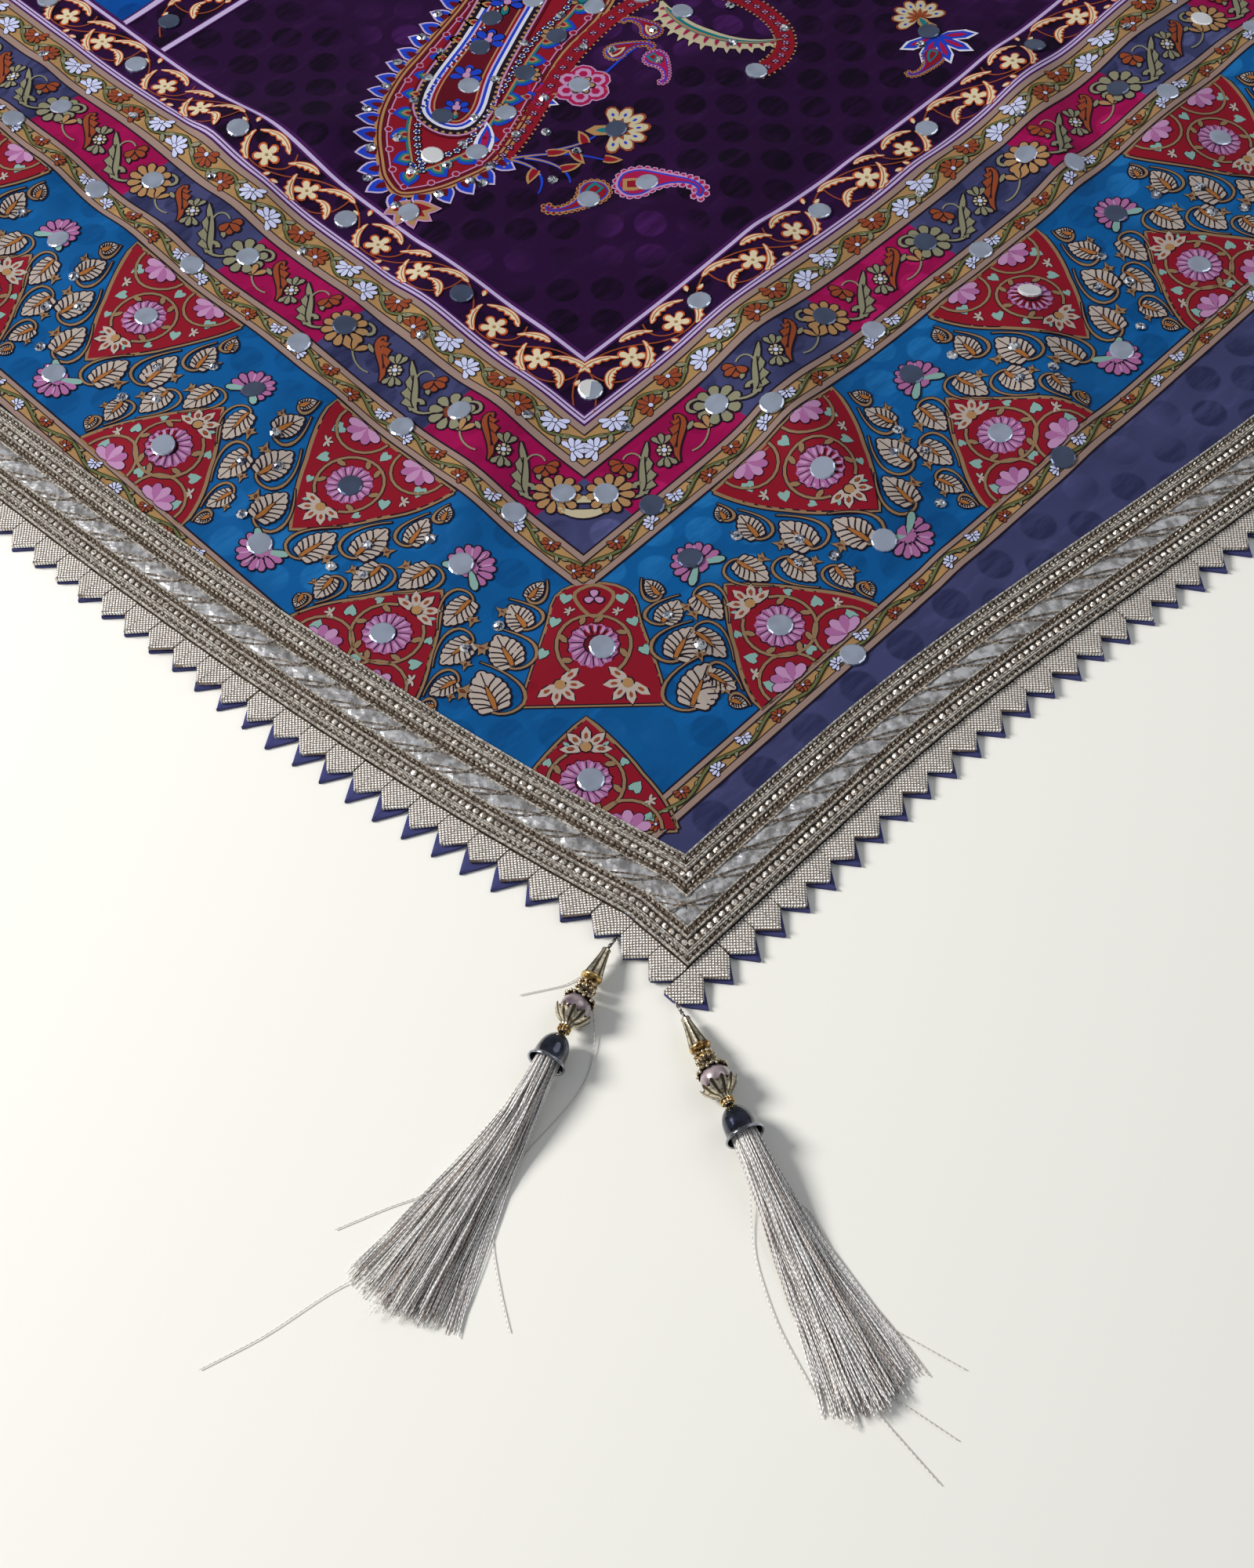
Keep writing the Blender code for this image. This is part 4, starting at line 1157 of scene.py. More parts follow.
def acanthus(ink, spine, wide):
    """A curling leaf with one saw-toothed side."""
    made = Drawing()
    n = 11
    spine = curve(*spine, n)
    t = np.linspace(0, 1, n)
    belly = np.sin(math.pi * t**0.8) * wide
    saw = np.where(np.arange(n) % 2 == 0, 0.55, 1.15)
    made.stroke(spine, belly * 0.7 + 0.003, belly * saw + 0.003, ink, 3)
    made.line(spine[1:-2], 0.009, "dark", 4)
    across = np.gradient(spine, axis=0)
    across = np.stack([-across[:, 1], across[:, 0]], 1) / np.linalg.norm(across, axis=1)[:, None]
    for k in range(2, n - 1, 2):
        made.line([spine[k - 1], spine[k] - across[k] * belly[k] * 0.55], 0.006, "dark", 4)
    return made


def block_motifs():
    """What is printed inside one magenta or slate block: x from 0 to 1, y from -0.417 to 0."""
    made = Drawing()
    made.put(hook(), 0.05, -0.27, -12, 1.0)
    made.put(
        acanthus("olive", ((0.14, -0.335), (0.24, -0.36), (0.28, -0.20), (0.46, -0.085)), 0.055), 0, 0
    )
    made.line(curve((0.34, -0.16), (0.37, -0.08), (0.31, -0.05), (0.26, -0.075), 7), 0.012, "olive", 3)
    made.rosette(0.235, -0.10, 4, 0.085, 0.05, "rust", 3, 200, 150)
    made.leaf(0.24, -0.16, 215, 0.075, 0.036, "olive", 3)
    made.rosette(0.485, -0.208, 8, 0.046, 0.024, "cream", 3, 0, 360, ("ice", 0.018), 0.012)
    for turn in (55, 235):
        made.rosette(*toward(turn, 0.05, 0.485, -0.208), 3, 0.085, 0.036, "olive", 3, turn, 84)
    made.put(
        acanthus("rust", ((0.73, -0.055), (0.78, -0.14), (0.58, -0.16), (0.49, -0.335)), 0.052), 0, 0
    )
    made.line(curve((0.60, -0.335), (0.66, -0.36), (0.74, -0.34), (0.80, -0.285), 7), 0.012, "olive", 3)
    made.rosette(0.80, -0.285, 3, 0.10, 0.042, "ochre", 3, 60, 110)
    made.leaf(0.70, -0.20, 20, 0.08, 0.034, "olive", 3)
    made.put(hook(), 0.96, -0.13, 168, 0.9)
    return made


def corner_block():
    """The slate corner square: two spirals over a crescent leaf, drawn on the diagonal."""
    made = Drawing()
    for flip in (False, True):
        made.put(hook(), 0.055 * (-1 if flip else 1), 0.11, -35 if not flip else 35, 0.85, flip)
    spine = curve((-0.16, 0.0), (-0.08, -0.075), (0.08, -0.075), (0.16, 0.0), 11)
    wide = np.sin(np.linspace(0, math.pi, 11)) * 0.03 + 0.003
    made.stroke(spine, wide, wide, "cream", 3)
    made.fan([(-0.05, 0.03), (-0.03, 0.065), (0, 0.085), (0.03, 0.065), (0.05, 0.03)], "cream", 3)
    return made


def lily(size):
    """A small ivory flower with flame-coloured edges."""
    made = Drawing()
    for k in range(5):
        turn = 90 + 72 * k
        made.leaf(0, 0, turn, size, size * 0.66, "flame", 2, 0.0, 0.6)
        made.leaf(0, 0, turn, size * 0.86, size * 0.48, "ivory", 3, 0.0, 0.6)
    made.disc(0, 0, size * 0.40, 315, 8, "ivory", 4, 0.0)
    made.disc(0, 0, size * 0.13, 300, 6, "ochre", 5, 0.0)
    return made


def feather(made, spine, wide):
    """An ivory leaf with a flame-coloured, notched edge, as long as its spine."""
    n = 11
    spine = curve(*spine, n)
    t = np.linspace(0, 1, n)
    belly = np.sin(math.pi * t**0.75) * wide + 0.003
    saw = np.where(np.arange(n) % 2 == 0, 0.62, 1.25)
    made.stroke(spine, belly * 0.60 + 0.006, belly * saw + 0.007, "flame", 2, 0.0)
    made.stroke(spine, belly * 0.55, belly * saw * 0.85, "ivory", 3, 0.0)
    made.line(spine[1:-2], 0.006, "flame", 4)


def scroll_unit():
    """A length of the purple band's scroll, from one mirror to the next, 1.15 blocks on."""
    made = Drawing()
    for spine in (
        curve((-0.16, 0.40), (0.04, 0.72), (0.34, 0.68), (0.56, 0.48), 16),
        curve((0.56, 0.48), (0.72, 0.34), (0.88, 0.34), (1.00, 0.42), 12),
        curve((0.14, 0.62), (0.10, 0.40), (0.26, 0.32), (0.40, 0.36), 12),
        curve((0.66, 0.62), (0.60, 0.52), (0.66, 0.42), (0.78, 0.40), 10),
    ):
        made.line(spine, 0.011, "rust", 1)
    for *spine, wide in (
        ((0.09, 0.62), (0.20, 0.66), (0.30, 0.60), (0.36, 0.53), 0.026),
        ((0.13, 0.38), (0.18, 0.48), (0.24, 0.50), (0.31, 0.46), 0.030),
        ((0.40, 0.35), (0.48, 0.36), (0.54, 0.42), (0.56, 0.52), 0.028),
        ((0.45, 0.62), (0.52, 0.64), (0.60, 0.60), (0.66, 0.53), 0.026),
        ((0.70, 0.58), (0.78, 0.66), (0.90, 0.64), (0.98, 0.57), 0.027),
        ((0.88, 0.36), (0.95, 0.38), (1.00, 0.45), (1.00, 0.55), 0.026),
    ):
        feather(made, spine, wide)
    made.put(lily(0.100), 0.41, 0.47, 20)
    made.put(lily(0.100), 0.81, 0.47, 5)
    for x, y, turn, long in (
        (0.05, 0.57, 190, 0.07), (0.58, 0.37, 340, 0.07), (0.68, 0.39, 300, 0.06), (1.05, 0.60, 60, 0.07)
    ):
        made.leaf(x, y, turn, long, 0.046, "flame", 2, 0.0)
        made.leaf(x, y, turn, long * 0.8, 0.028, "ivory", 3, 0.0)
    return made


PLEAT_LEAN = math.degrees(0.1)


def ruffle(radius):
    """A pink ruffled flower, its pleats drawn as pale lines."""
    made = Drawing()
    count = 15
    angle = np.linspace(0, 2 * math.pi, 2 * count, endpoint=False)
    size = radius * np.where(np.arange(2 * count) % 2 == 0, 1.0, 0.91)
    made.fan(np.stack([np.cos(angle) * size, np.sin(angle) * size], 1), "pink", 3)
    for k in range(count):
        turn = 360 * (k + 0.5) / count
        made.leaf(
            *toward(turn, 0.5 * radius), turn + 6, radius * 0.46, radius * 0.16, "light_pink", 4, 0.0
        )
        inner = 360 * k / count
        ends = [toward(inner, 0.42 * radius), toward(inner + PLEAT_LEAN, 0.92 * radius)]
        made.line(ends, 0.005, "dark", 5)
    made.disc(0, 0, radius * 0.36, 330, 10, "deep_red", 5)
    return made


def heart(size):
    """A mint heart with its point towards -y."""
    made = Drawing()
    outline = [
        (0, -1.0), (0.55, -0.35), (0.75, 0.25), (0.42, 0.62), (0.0, 0.35), (-0.42, 0.62), (-0.75, 0.25),
        (-0.55, -0.35)
    ]
    made.fan(np.array(outline) * size, "mint", 3, 0.006)
    return made


def star_flower(size):
    """Cream star flower with a drop in each petal."""
    made = Drawing()
    for k in range(5):
        turn = 90 + (k - 2) * 46
        made.leaf(0, 0, turn, size, size * 0.42, "leaf", 3)
        made.leaf(*toward(turn, 0.42 * size), turn, size * 0.30, size * 0.15, "rust", 4, 0.004)
    made.disc(0, 0.06 * size, size * 0.22, 315, 8, "ochre", 4)
    return made


RING_RADIUS = 0.215
SPRIG = (35, 90, 145, 200, 250)  # headings of a small sprig's leaves


def ringed_ruffle(made, line, wide, rim, turns):
    """A gold ring with its leaves round a pink flower."""
    made.stroke(line, wide, wide, "gold", 4, rim)
    for turn in turns:
        made.leaf(*toward(turn, RING_RADIUS), turn + 150, 0.075, 0.04, "gold", 4, 0.006)
    made.put(ruffle(0.15), 0, 0)


def kite(half, base, tip):
    """A red kite with its base along y = base and its point at y = tip, round its flower."""
    made = Drawing()
    flank = curve(
        (-half, base), (-0.94 * half, 0.62 * base), (-0.80 * half, 0.22 * base),
        (-0.62 * half, 0.10 * tip), 7
    )
    point = curve(
        (-0.62 * half, 0.10 * tip), (-0.46 * half, 0.42 * tip), (-0.20 * half, 0.76 * tip), (0.0, tip), 7
    )
    left = np.vstack([flank, point[1:]])
    floor = np.stack([np.linspace(half, -half, 10), np.full(10, base)], 1)[1:-1]
    outline = np.vstack([left, left[::-1][1:] * [-1, 1], floor])
    made.stroke(np.vstack([outline, outline[:2]]), 0.024, 0.024, "gold", 1, 0.009)
    made.fill(outline, "red", 2, 0.009)
    for x in (-0.47 * half, 0.47 * half):
        ring = arc(x, base, 0.19, 180, 360, 12)
        made.stroke(ring, 0.009, 0.009, "gold", 4, 0.005)
        for k in range(5):
            turn = 180 + 180 * (k + 0.5) / 5
            made.leaf(
                x, base + 0.01, turn, 0.135, 0.062, "pink" if k % 2 else "light_pink", 5, 0.006, 1.0
            )
    ringed_ruffle(made, arc(0, 0, RING_RADIUS, -60, 240, 22), 0.009, 0.006, (20, 75, 105, 160, 215, -35))
    made.put(star_flower(0.15), 0, -0.225, 180)
    for sign in (-1, 1):
        made.put(heart(0.056), sign * 0.36 * half / 0.52, 0.25, 20 * sign)
        made.put(heart(0.052), sign * 0.275, 0.04, 35 * sign)
        made.put(heart(0.036), sign * 0.215, -0.13, -20 * sign)
        made.leaf(sign * 0.13, -0.27, 90 + 50 * sign, 0.05, 0.026, "mint", 3, 0.005)
        for turn in SPRIG:
            made.leaf(sign * 0.35, 0.125, turn, 0.045, 0.018, "leaf", 4, 0.004)
    made.put(heart(0.05), 0, base - 0.07, 0)
    return made


def veined_leaf(long, wide):
    """A leaf with a scalloped edge, veins up to its notches and an orange rib, from (0, 0) along +x."""
    made = Drawing()
    scallops = 6
    notches, edge = [], []
    for k in range(scallops + 1):
        t = k / scallops
        half = wide * 0.5 * math.sin(math.pi * (0.16 + 0.80 * t)) ** 0.75
        notches.append((long * (-0.04 + 0.94 * t), half))
    for k in range(scallops):
        (x0, y0), (x1, y1) = notches[k], notches[k + 1]
        run = math.hypot(x1 - x0, y1 - y0)
        out = 0.36 * run
        away = (-(y1 - y0) / run * out, (x1 - x0) / run * out)
        edge.append((x0, y0))
        for share in (0.22, 0.60, 0.90):
            swell = math.sin(math.pi * share) ** 0.6
            edge.append(
                (x0 + (x1 - x0) * share + away[0] * swell, y0 + (y1 - y0) * share + away[1] * swell)
            )
    edge.append((long, 0.10 * wide))
    edge = np.array(edge)
    outline = np.vstack([edge, [(long * 1.03, 0)], edge[::-1] * [1, -1], [(-0.05 * long, 0)]])
    made.fan(outline, "leaf", 3, 0.012)
    for sign in (-1, 1):
        for k in range(1, scallops):
            x, y = notches[k]
            root = max(0.02, x / long - 0.24) * long
            made.line(
                curve(
                    (root, 0), (root + 0.10 * long, sign * 0.2 * y), (x - 0.06 * long, sign * 0.6 * y),
                    (x, sign * y), 3
                ),
                0.0095, "dark", 4
            )
    made.line([(0.5 * long, 0), (0.98 * long, 0)], 0.007, "dark", 4)
    rib = (0.010, 0.015, 0.011, 0.003)
    made.stroke(
        [(-0.02 * long, 0), (0.20 * long, 0.004), (0.42 * long, 0), (0.62 * long, 0)], rib, rib, "rib", 5,
        0.005
    )
    return made


def leaf_in_curl(long, wide):
    """A veined leaf held in a gold curl that runs down beside it and round its base."""
    made = Drawing()
    made.put(veined_leaf(long, wide), 0, 0)
    spine = np.vstack(
        [
            curve(
                (long * 1.25, wide * 0.12), (long * 0.75, wide * 0.80), (long * 0.2, wide * 1.16),
                (-long * 0.10, wide * 0.78), 9
            ),
            curve(
                (-long * 0.10, wide * 0.78), (-long * 0.26, wide * 0.50), (-0.24 * long, wide * 0.10),
                (-0.07 * long, -wide * 0.12), 6
            )[1:],
        ]
    )
    widths = np.concatenate([np.linspace(0.003, 0.009, 6), np.linspace(0.012, 0.007, 8)])
    made.stroke(spine, widths, widths * 0.7, "gold", 3, 0.008)
    return made


def bract(size):
    """A small gold leaf of five points, its longest towards +y."""
    made = Drawing()
    made.fan(
        np.array(
            [
                (0, 1.0), (0.22, 0.30), (0.75, 0.0), (0.35, -0.12), (0.42, -0.45), (0, -0.22),
                (-0.42, -0.45), (-0.35, -0.12), (-0.75, 0.0), (-0.22, 0.30)
            ]
        ) * size,
        "gold", 3, 0.006
    )
    made.leaf(0, -0.12 * size, 90, 0.5 * size, 0.22 * size, "brown", 4, 0.004)
    return made


Spray = namedtuple("Spray", "x y heading long wide")
SPRAYS = [Spray(*row) for row in (
    (0.200, -0.560, 84, 0.245, 0.170), (0.445, -0.330, 92, 0.245, 0.170),
    (0.610, -0.050, 104, 0.185, 0.130), (0.650, 0.180, 114, 0.10, 0.075),
)]


def spray_pair():
    """The leaves down both sides of a kite, from its base to its point."""
    made = Drawing()
    for flip in (False, True):
        sign = -1 if flip else 1
        for spray in SPRAYS:
            one = leaf_in_curl(spray.long, spray.wide)
            made.put(one, sign * spray.x, spray.y, sign * spray.heading, 1.0, flip)
        for x, y, turn, size in (
            (0.325, -0.470, -30, 0.072), (0.555, -0.195, -30, 0.062), (0.675, 0.050, -30, 0.046)
        ):
            made.put(bract(size), sign * x, y, sign * turn)
    return made


def half_lotus():
    """Pink pointed petals on one side of a mirror, with its pale sepals and a gold cup."""
    made = Drawing()
    made.rosette(0, 0, 9, 0.155, 0.046, "pink", 3, 90, 200, None, 0.05)
    for turn in (52, 90, 128):
        made.leaf(*toward(turn, 0.06), turn, 0.08, 0.018, "light_pink", 5.5, 0.0)
    made.rosette(0, 0, 2, 0.17, 0.05, "mint", 3, 90, 244)
    made.disc(0, -0.01, 0.060, 330, 9, "pink", 3, 0.006)
    return made


def smooth_closed(points, per_span=4):
    """A closed curve through points."""
    p = np.asarray(points, float)
    before, after, far = np.roll(p, 1, 0), np.roll(p, -1, 0), np.roll(p, -2, 0)
    made = []
    for t in np.arange(per_span) / per_span:
        made.append(
            0.5 * (
                2 * p + (after - before) * t + (2 * before - 5 * p + 4 * after - far) * t**2
                + (3 * p - before - 3 * after + far) * t**3
            )
        )
    return np.stack(made, 1).reshape(-1, 2)


def ring(drawing, outline, outer, inner, ink, layer):
    """A stripe inside a closed outline, between two distances from it."""
    a, b = grown(outline, -outer), grown(outline, -inner)
    n = len(outline)
    k = np.arange(n)
    after = (k + 1) % n
    faces = np.concatenate([np.stack([k, after, after + n], 1), np.stack([k, after + n, k + n], 1)])
    drawing.add(np.concatenate([a, b]), faces, ink, layer)


def rings(drawing, outline, start, stripes, layer):
    """Stripes one after another inside a closed outline, each with its far edge and its ink."""
    for end, ink in stripes:
        ring(drawing, outline, start, end, ink, layer)
        start = end


def outward_places(outline, inside, spacing):
    """Places evenly along a closed outline, a distance inside it, with the heading out of it."""
    line = grown(outline, -inside)
    steps = np.linalg.norm(np.roll(line, -1, 0) - line, axis=1)
    total = np.concatenate([[0], np.cumsum(steps)])
    closed = np.vstack([line, line[:1]])
    count = max(3, round(total[-1] / spacing))
    at = np.arange(count) / count * total[-1]
    x = np.interp(at, total, closed[:, 0])
    y = np.interp(at, total, closed[:, 1])
    out = grown(outline, 0.05) - outline
    out = np.vstack([out, out[:1]])
    turn = np.degrees(np.arctan2(np.interp(at, total, out[:, 1]), np.interp(at, total, out[:, 0])))
    return list(zip(x, y, turn))


PAISLEY = (
    (-0.64, -0.32), (-0.62, -0.12), (-0.52, 0.04), (-0.36, 0.24), (-0.13, 0.43), (0.17, 0.60),
    (0.50, 0.71), (1.10, 0.90), (1.60, 1.14), (2.00, 1.44), (2.36, 1.60), (2.34, 1.20),
    (2.26, 0.80), (2.14, 0.42), (1.90, 0.12), (1.55, -0.04), (1.14, -0.12), (0.72, -0.30),
    (0.34, -0.47), (0.02, -0.57), (-0.22, -0.54), (-0.44, -0.47),
)
PAISLEY_HEART = (
    (0.12, -0.13), (0.02, 0.00), (0.06, 0.19), (0.34, 0.38), (0.80, 0.55), (1.28, 0.78),
    (1.74, 1.10), (2.06, 1.32), (1.92, 0.92), (1.58, 0.58), (1.02, 0.30), (0.62, 0.10),
    (0.32, -0.10),
)


RIM_FLAMES = ((0.150, 0.150, "lavender", 1), (0.130, 0.122, "royal", 2), (0.075, 0.060, "deep_red", 3))
INNER_FLAMES = (
    (0.120, 0.150, "royal", 5), (0.088, 0.105, "teal", 6), (0.062, 0.066, "ochre", 7),
    (0.038, 0.036, "red", 8),
)
PENDANT_FLAMES = ((0.205, 0.150, "light_pink", 5), (0.185, 0.120, "ochre", 6), (0.135, 0.070, "red", 7))


def paisley_petals(outline, inside, spacing):
    """Places of the petals that show round the big paisley's outline."""
    places = outward_places(outline, inside, spacing)
    return [(x, y, turn) for x, y, turn in places if x < 1.9 and (y > 0.5 or x < 0.1)]


def paisley_heart(made):
    """The ringed heart of the big paisley, with its flowers inside and beside it."""
    heart_line = smooth_closed(PAISLEY_HEART, 4)
    edge = (
        (-0.085, "deep_red"), (-0.070, "light_pink"), (-0.020, "dark"), (0.004, "white"),
        (0.026, "royal"), (0.040, "lavender"), (0.060, "red"), (0.072, "ochre"),
    )
    rings(made, heart_line, -0.105, edge, 6)
    for x, y, turn in outward_places(heart_line, -0.045, 0.050):
        made.leaf(x, y, turn, 0.030, 0.030, "ochre", 7, 0.0)
    made.fill(grown(heart_line, -0.072), "deep_red", 6, 0.0)
    for x, y, turn, size in (
        (0.22, 0.04, 40, 0.8), (0.50, 0.24, 32, 1.0), (0.86, 0.40, 30, 1.05), (1.24, 0.60, 34, 1.05),
        (1.62, 0.86, 38, 0.9)
    ):
        made.rosette(x, y, 5, 0.115 * size, 0.060 * size, "royal", 7, turn, 210, ("light_pink", 0.03))
        made.rosette(x, y, 3, 0.080 * size, 0.036 * size, "light_pink", 8, turn, 120)
        foot = toward(turn + 180, 0.03, x, y)
        made.leaf(*foot, turn + 180, 0.11 * size, 0.06 * size, "teal", 7)
        made.leaf(*foot, turn + 180, 0.07 * size, 0.03 * size, "ochre", 8, 0.0)
    for x, y, turn, size in (
        (0.42, -0.22, 30, 0.9), (0.80, -0.06, 25, 1.0), (1.22, 0.10, 25, 1.0), (1.62, 0.22, 40, 0.9)
    ):
        made.rosette(x, y, 7, 0.095 * size, 0.040 * size, "ochre", 6, turn, 230, ("teal", 0.035))
        made.rosette(x, y, 5, 0.060 * size, 0.024 * size, "rose", 7, turn, 160)


def great_paisley():
    """The panel's big paisley round (0, 0): blue petals, scalloped red bands and a ringed heart."""
    made = Drawing()
    outline = smooth_closed(PAISLEY, 4)
    for x, y, turn in paisley_petals(outline, 0.012, 0.150):
        made.flames(x, y, turn - 12, RIM_FLAMES)
    edge = (
        (0.020, "ochre"), (0.034, "deep_red"), (0.052, "ochre"), (0.084, "deep_red"),
        (0.094, "light_pink"), (0.185, "red"),
    )
    rings(made, outline, 0.0, edge, 2)
    made.fill(grown(outline, -0.185), "red", 2, 0.0)
    for x, y, turn in outward_places(outline, 0.100, 0.185):
        made.disc(x, y, 0.030, 315, 8, "light_pink", 3, 0.0)
        made.disc(x, y, 0.020, 315, 8, "red", 4, 0.0)
    for x, y, turn in outward_places(outline, 0.225, 0.215):
        made.flames(x, y, turn, INNER_FLAMES)
    rings(made, outline, 0.215, ((0.232, "teal"), (0.246, "ochre")), 5)
    for x, y, turn in outward_places(outline, 0.292, 0.066):
        made.rosette(x, y, 5, 0.025, 0.018, "white", 5, turn, 360, ("royal", 0.008))
    paisley_heart(made)
    made.flame(0.04, -0.40, 35, 0.30, 0.15, "white", 6)
    made.flame(0.07, -0.38, 35, 0.23, 0.09, "royal", 7)
    made.flame(0.09, -0.37, 35, 0.16, 0.05, "rose", 8)
    made.put(pendant(), -0.64, -0.45, 134)
    return made


def pendant():
    """The scalloped drop below the big paisley, towards +y."""
    made = Drawing()
    for k in range(5):
        turn = 90 + (k - 2) * 38
        made.flames(0, 0, turn, PENDANT_FLAMES)
    return made


SMALL_PAISLEY = (
    (0.0, -0.50), (-0.34, -0.34), (-0.40, 0.02), (-0.24, 0.34), (-0.02, 0.66), (0.26, 0.98),
    (0.56, 1.14), (0.74, 1.00), (0.62, 0.86), (0.52, 0.92), (0.36, 0.78), (0.24, 0.50),
    (0.26, 0.22), (0.38, -0.04), (0.32, -0.34),
)


def small_paisley(body, heart_ink, rim_ink, size):
    """A little paisley with a scalloped rim, its long curled tail towards +y."""
    made = Drawing()
    outline = smooth_closed(SMALL_PAISLEY, 3) * size
    for x, y, _ in outward_places(outline, 0.0, 0.15 * size):
        made.disc(x, y, 0.080 * size, 300, 6, rim_ink, 1, 0.0)
        made.disc(x, y, 0.048 * size, 300, 6, body, 2, 0.0)
    made.fill(outline, rim_ink, 2, 0.0)
    made.fill(grown(outline, -0.045 * size), "royal", 3, 0.0)
    made.fill(grown(outline, -0.085 * size), body, 4, 0.0)
    made.flame(0.0, -0.36 * size, 82, 0.66 * size, 0.38 * size, heart_ink, 5)
    made.flame(0.0, -0.28 * size, 82, 0.44 * size, 0.20 * size, "red", 6)
    return made


def lobed_flower(size):
    """Pink lobes edged in rose, with dotted hearts."""
    made = Drawing()
    for k in range(6):
        turn = 30 + 60 * k
        x, y = toward(turn, 0.55 * size)
        made.disc(x, y, 0.46 * size, 330, 10, "light_pink", 1, 0.0)
        made.disc(x, y, 0.40 * size, 330, 10, "rose", 2, 0.0)
        made.disc(x, y, 0.29 * size, 330, 8, "light_pink", 3, 0.0)
        made.disc(x, y, 0.15 * size, 300, 6, "rose", 4, 0.0)
    made.rosette(0, 0, 6, 0.42 * size, 0.2 * size, "ochre", 5, 0, 360, ("red", 0.16 * size))
    return made


def fan_flower(size):
    """A cream fan of blunt petals on a rust cup."""
    made = Drawing()
    for k in range(7):
        turn = 90 + (k - 3) * 33
        made.leaf(0, 0, turn, size, 0.42 * size, "rust", 1, 0.0, 1.0)
        made.leaf(0, 0, turn, 0.92 * size, 0.35 * size, "cream", 2, 0.0, 1.0)
        made.leaf(0, 0, turn, 0.50 * size, 0.16 * size, "rust", 3, 0.0)
        made.leaf(*toward(turn, 0.55 * size), turn, 0.16 * size, 0.10 * size, "royal", 3, 0.0)
    made.leaf(0, 0.1 * size, -90, 1.0 * size, 0.5 * size, "ochre", 2, 0.008)
    made.leaf(0, 0.0, -90, 0.6 * size, 0.22 * size, "teal", 3, 0.0)
    return made


def blue_lily(size):
    """Blue petals edged in white, towards +y, on an ochre foot."""
    made = Drawing()
    for k in range(5):
        turn = 90 + (k - 2) * 40
        made.leaf(0, 0, turn, size, 0.40 * size, "white", 1, 0.006)
        made.leaf(0, 0, turn, 0.90 * size, 0.30 * size, "royal", 2, 0.0)
        made.leaf(*toward(turn, 0.18 * size), turn, 0.55 * size, 0.14 * size, "rose", 3, 0.0)
    made.leaf(0, 0.05 * size, -90, 0.6 * size, 0.30 * size, "ochre", 3)
    return made


def beaded_ribbon(spine, wide):
    """A red ribbon with florets down it and gold beads along both edges."""
    made = Drawing()
    n = len(spine)
    made.stroke(spine, wide / 2, wide / 2, "red", 2, 0.0)
    along = np.gradient(spine, axis=0)
    along /= np.linalg.norm(along, axis=1)[:, None]
    across = np.stack([-along[:, 1], along[:, 0]], 1)
    for k in range(n):
        made.rosette(spine[k, 0], spine[k, 1], 4, 0.022, 0.016, "light_pink", 3, 45 * (k % 2), 360)
        for sign in (-1, 1):
            x, y = spine[k] + across[k] * sign * (wide / 2 + 0.010)
            made.disc(x, y, 0.011, 270, 4, "ochre", 2, 0.0)
            if k < n - 1:
                mx, my = (spine[k] + spine[k + 1]) / 2 + across[k] * sign * (wide / 2 + 0.010)
                made.disc(mx, my, 0.011, 270, 4, "ochre", 2, 0.0)
    return made


SPRAY_STEMS = (
    ((0.09, -0.56), (0.30, -0.72), (0.46, -0.80), (0.58, -1.14)),
    ((0.34, -0.72), (0.52, -0.84), (0.60, -0.86), (0.78, -0.86)),
    ((0.12, -0.60), (0.22, -0.80), (0.16, -0.92), (0.02, -0.98)),
    ((0.20, -0.66), (0.34, -0.86), (0.30, -1.00), (0.24, -1.06)),
    ((0.74, -0.30), (1.04, -0.60), (1.24, -0.36), (1.62, -0.46)),
)
RIBBON = (
    ((0.03, -0.55), (0.40, -0.50), (0.78, -0.24), (1.22, -0.13), 14),
    ((1.22, -0.13), (1.66, -0.02), (2.10, -0.04), (2.34, -0.42), 14),
    ((2.34, -0.42), (2.52, -0.80), (2.40, -1.34), (1.90, -1.22), 16),
)


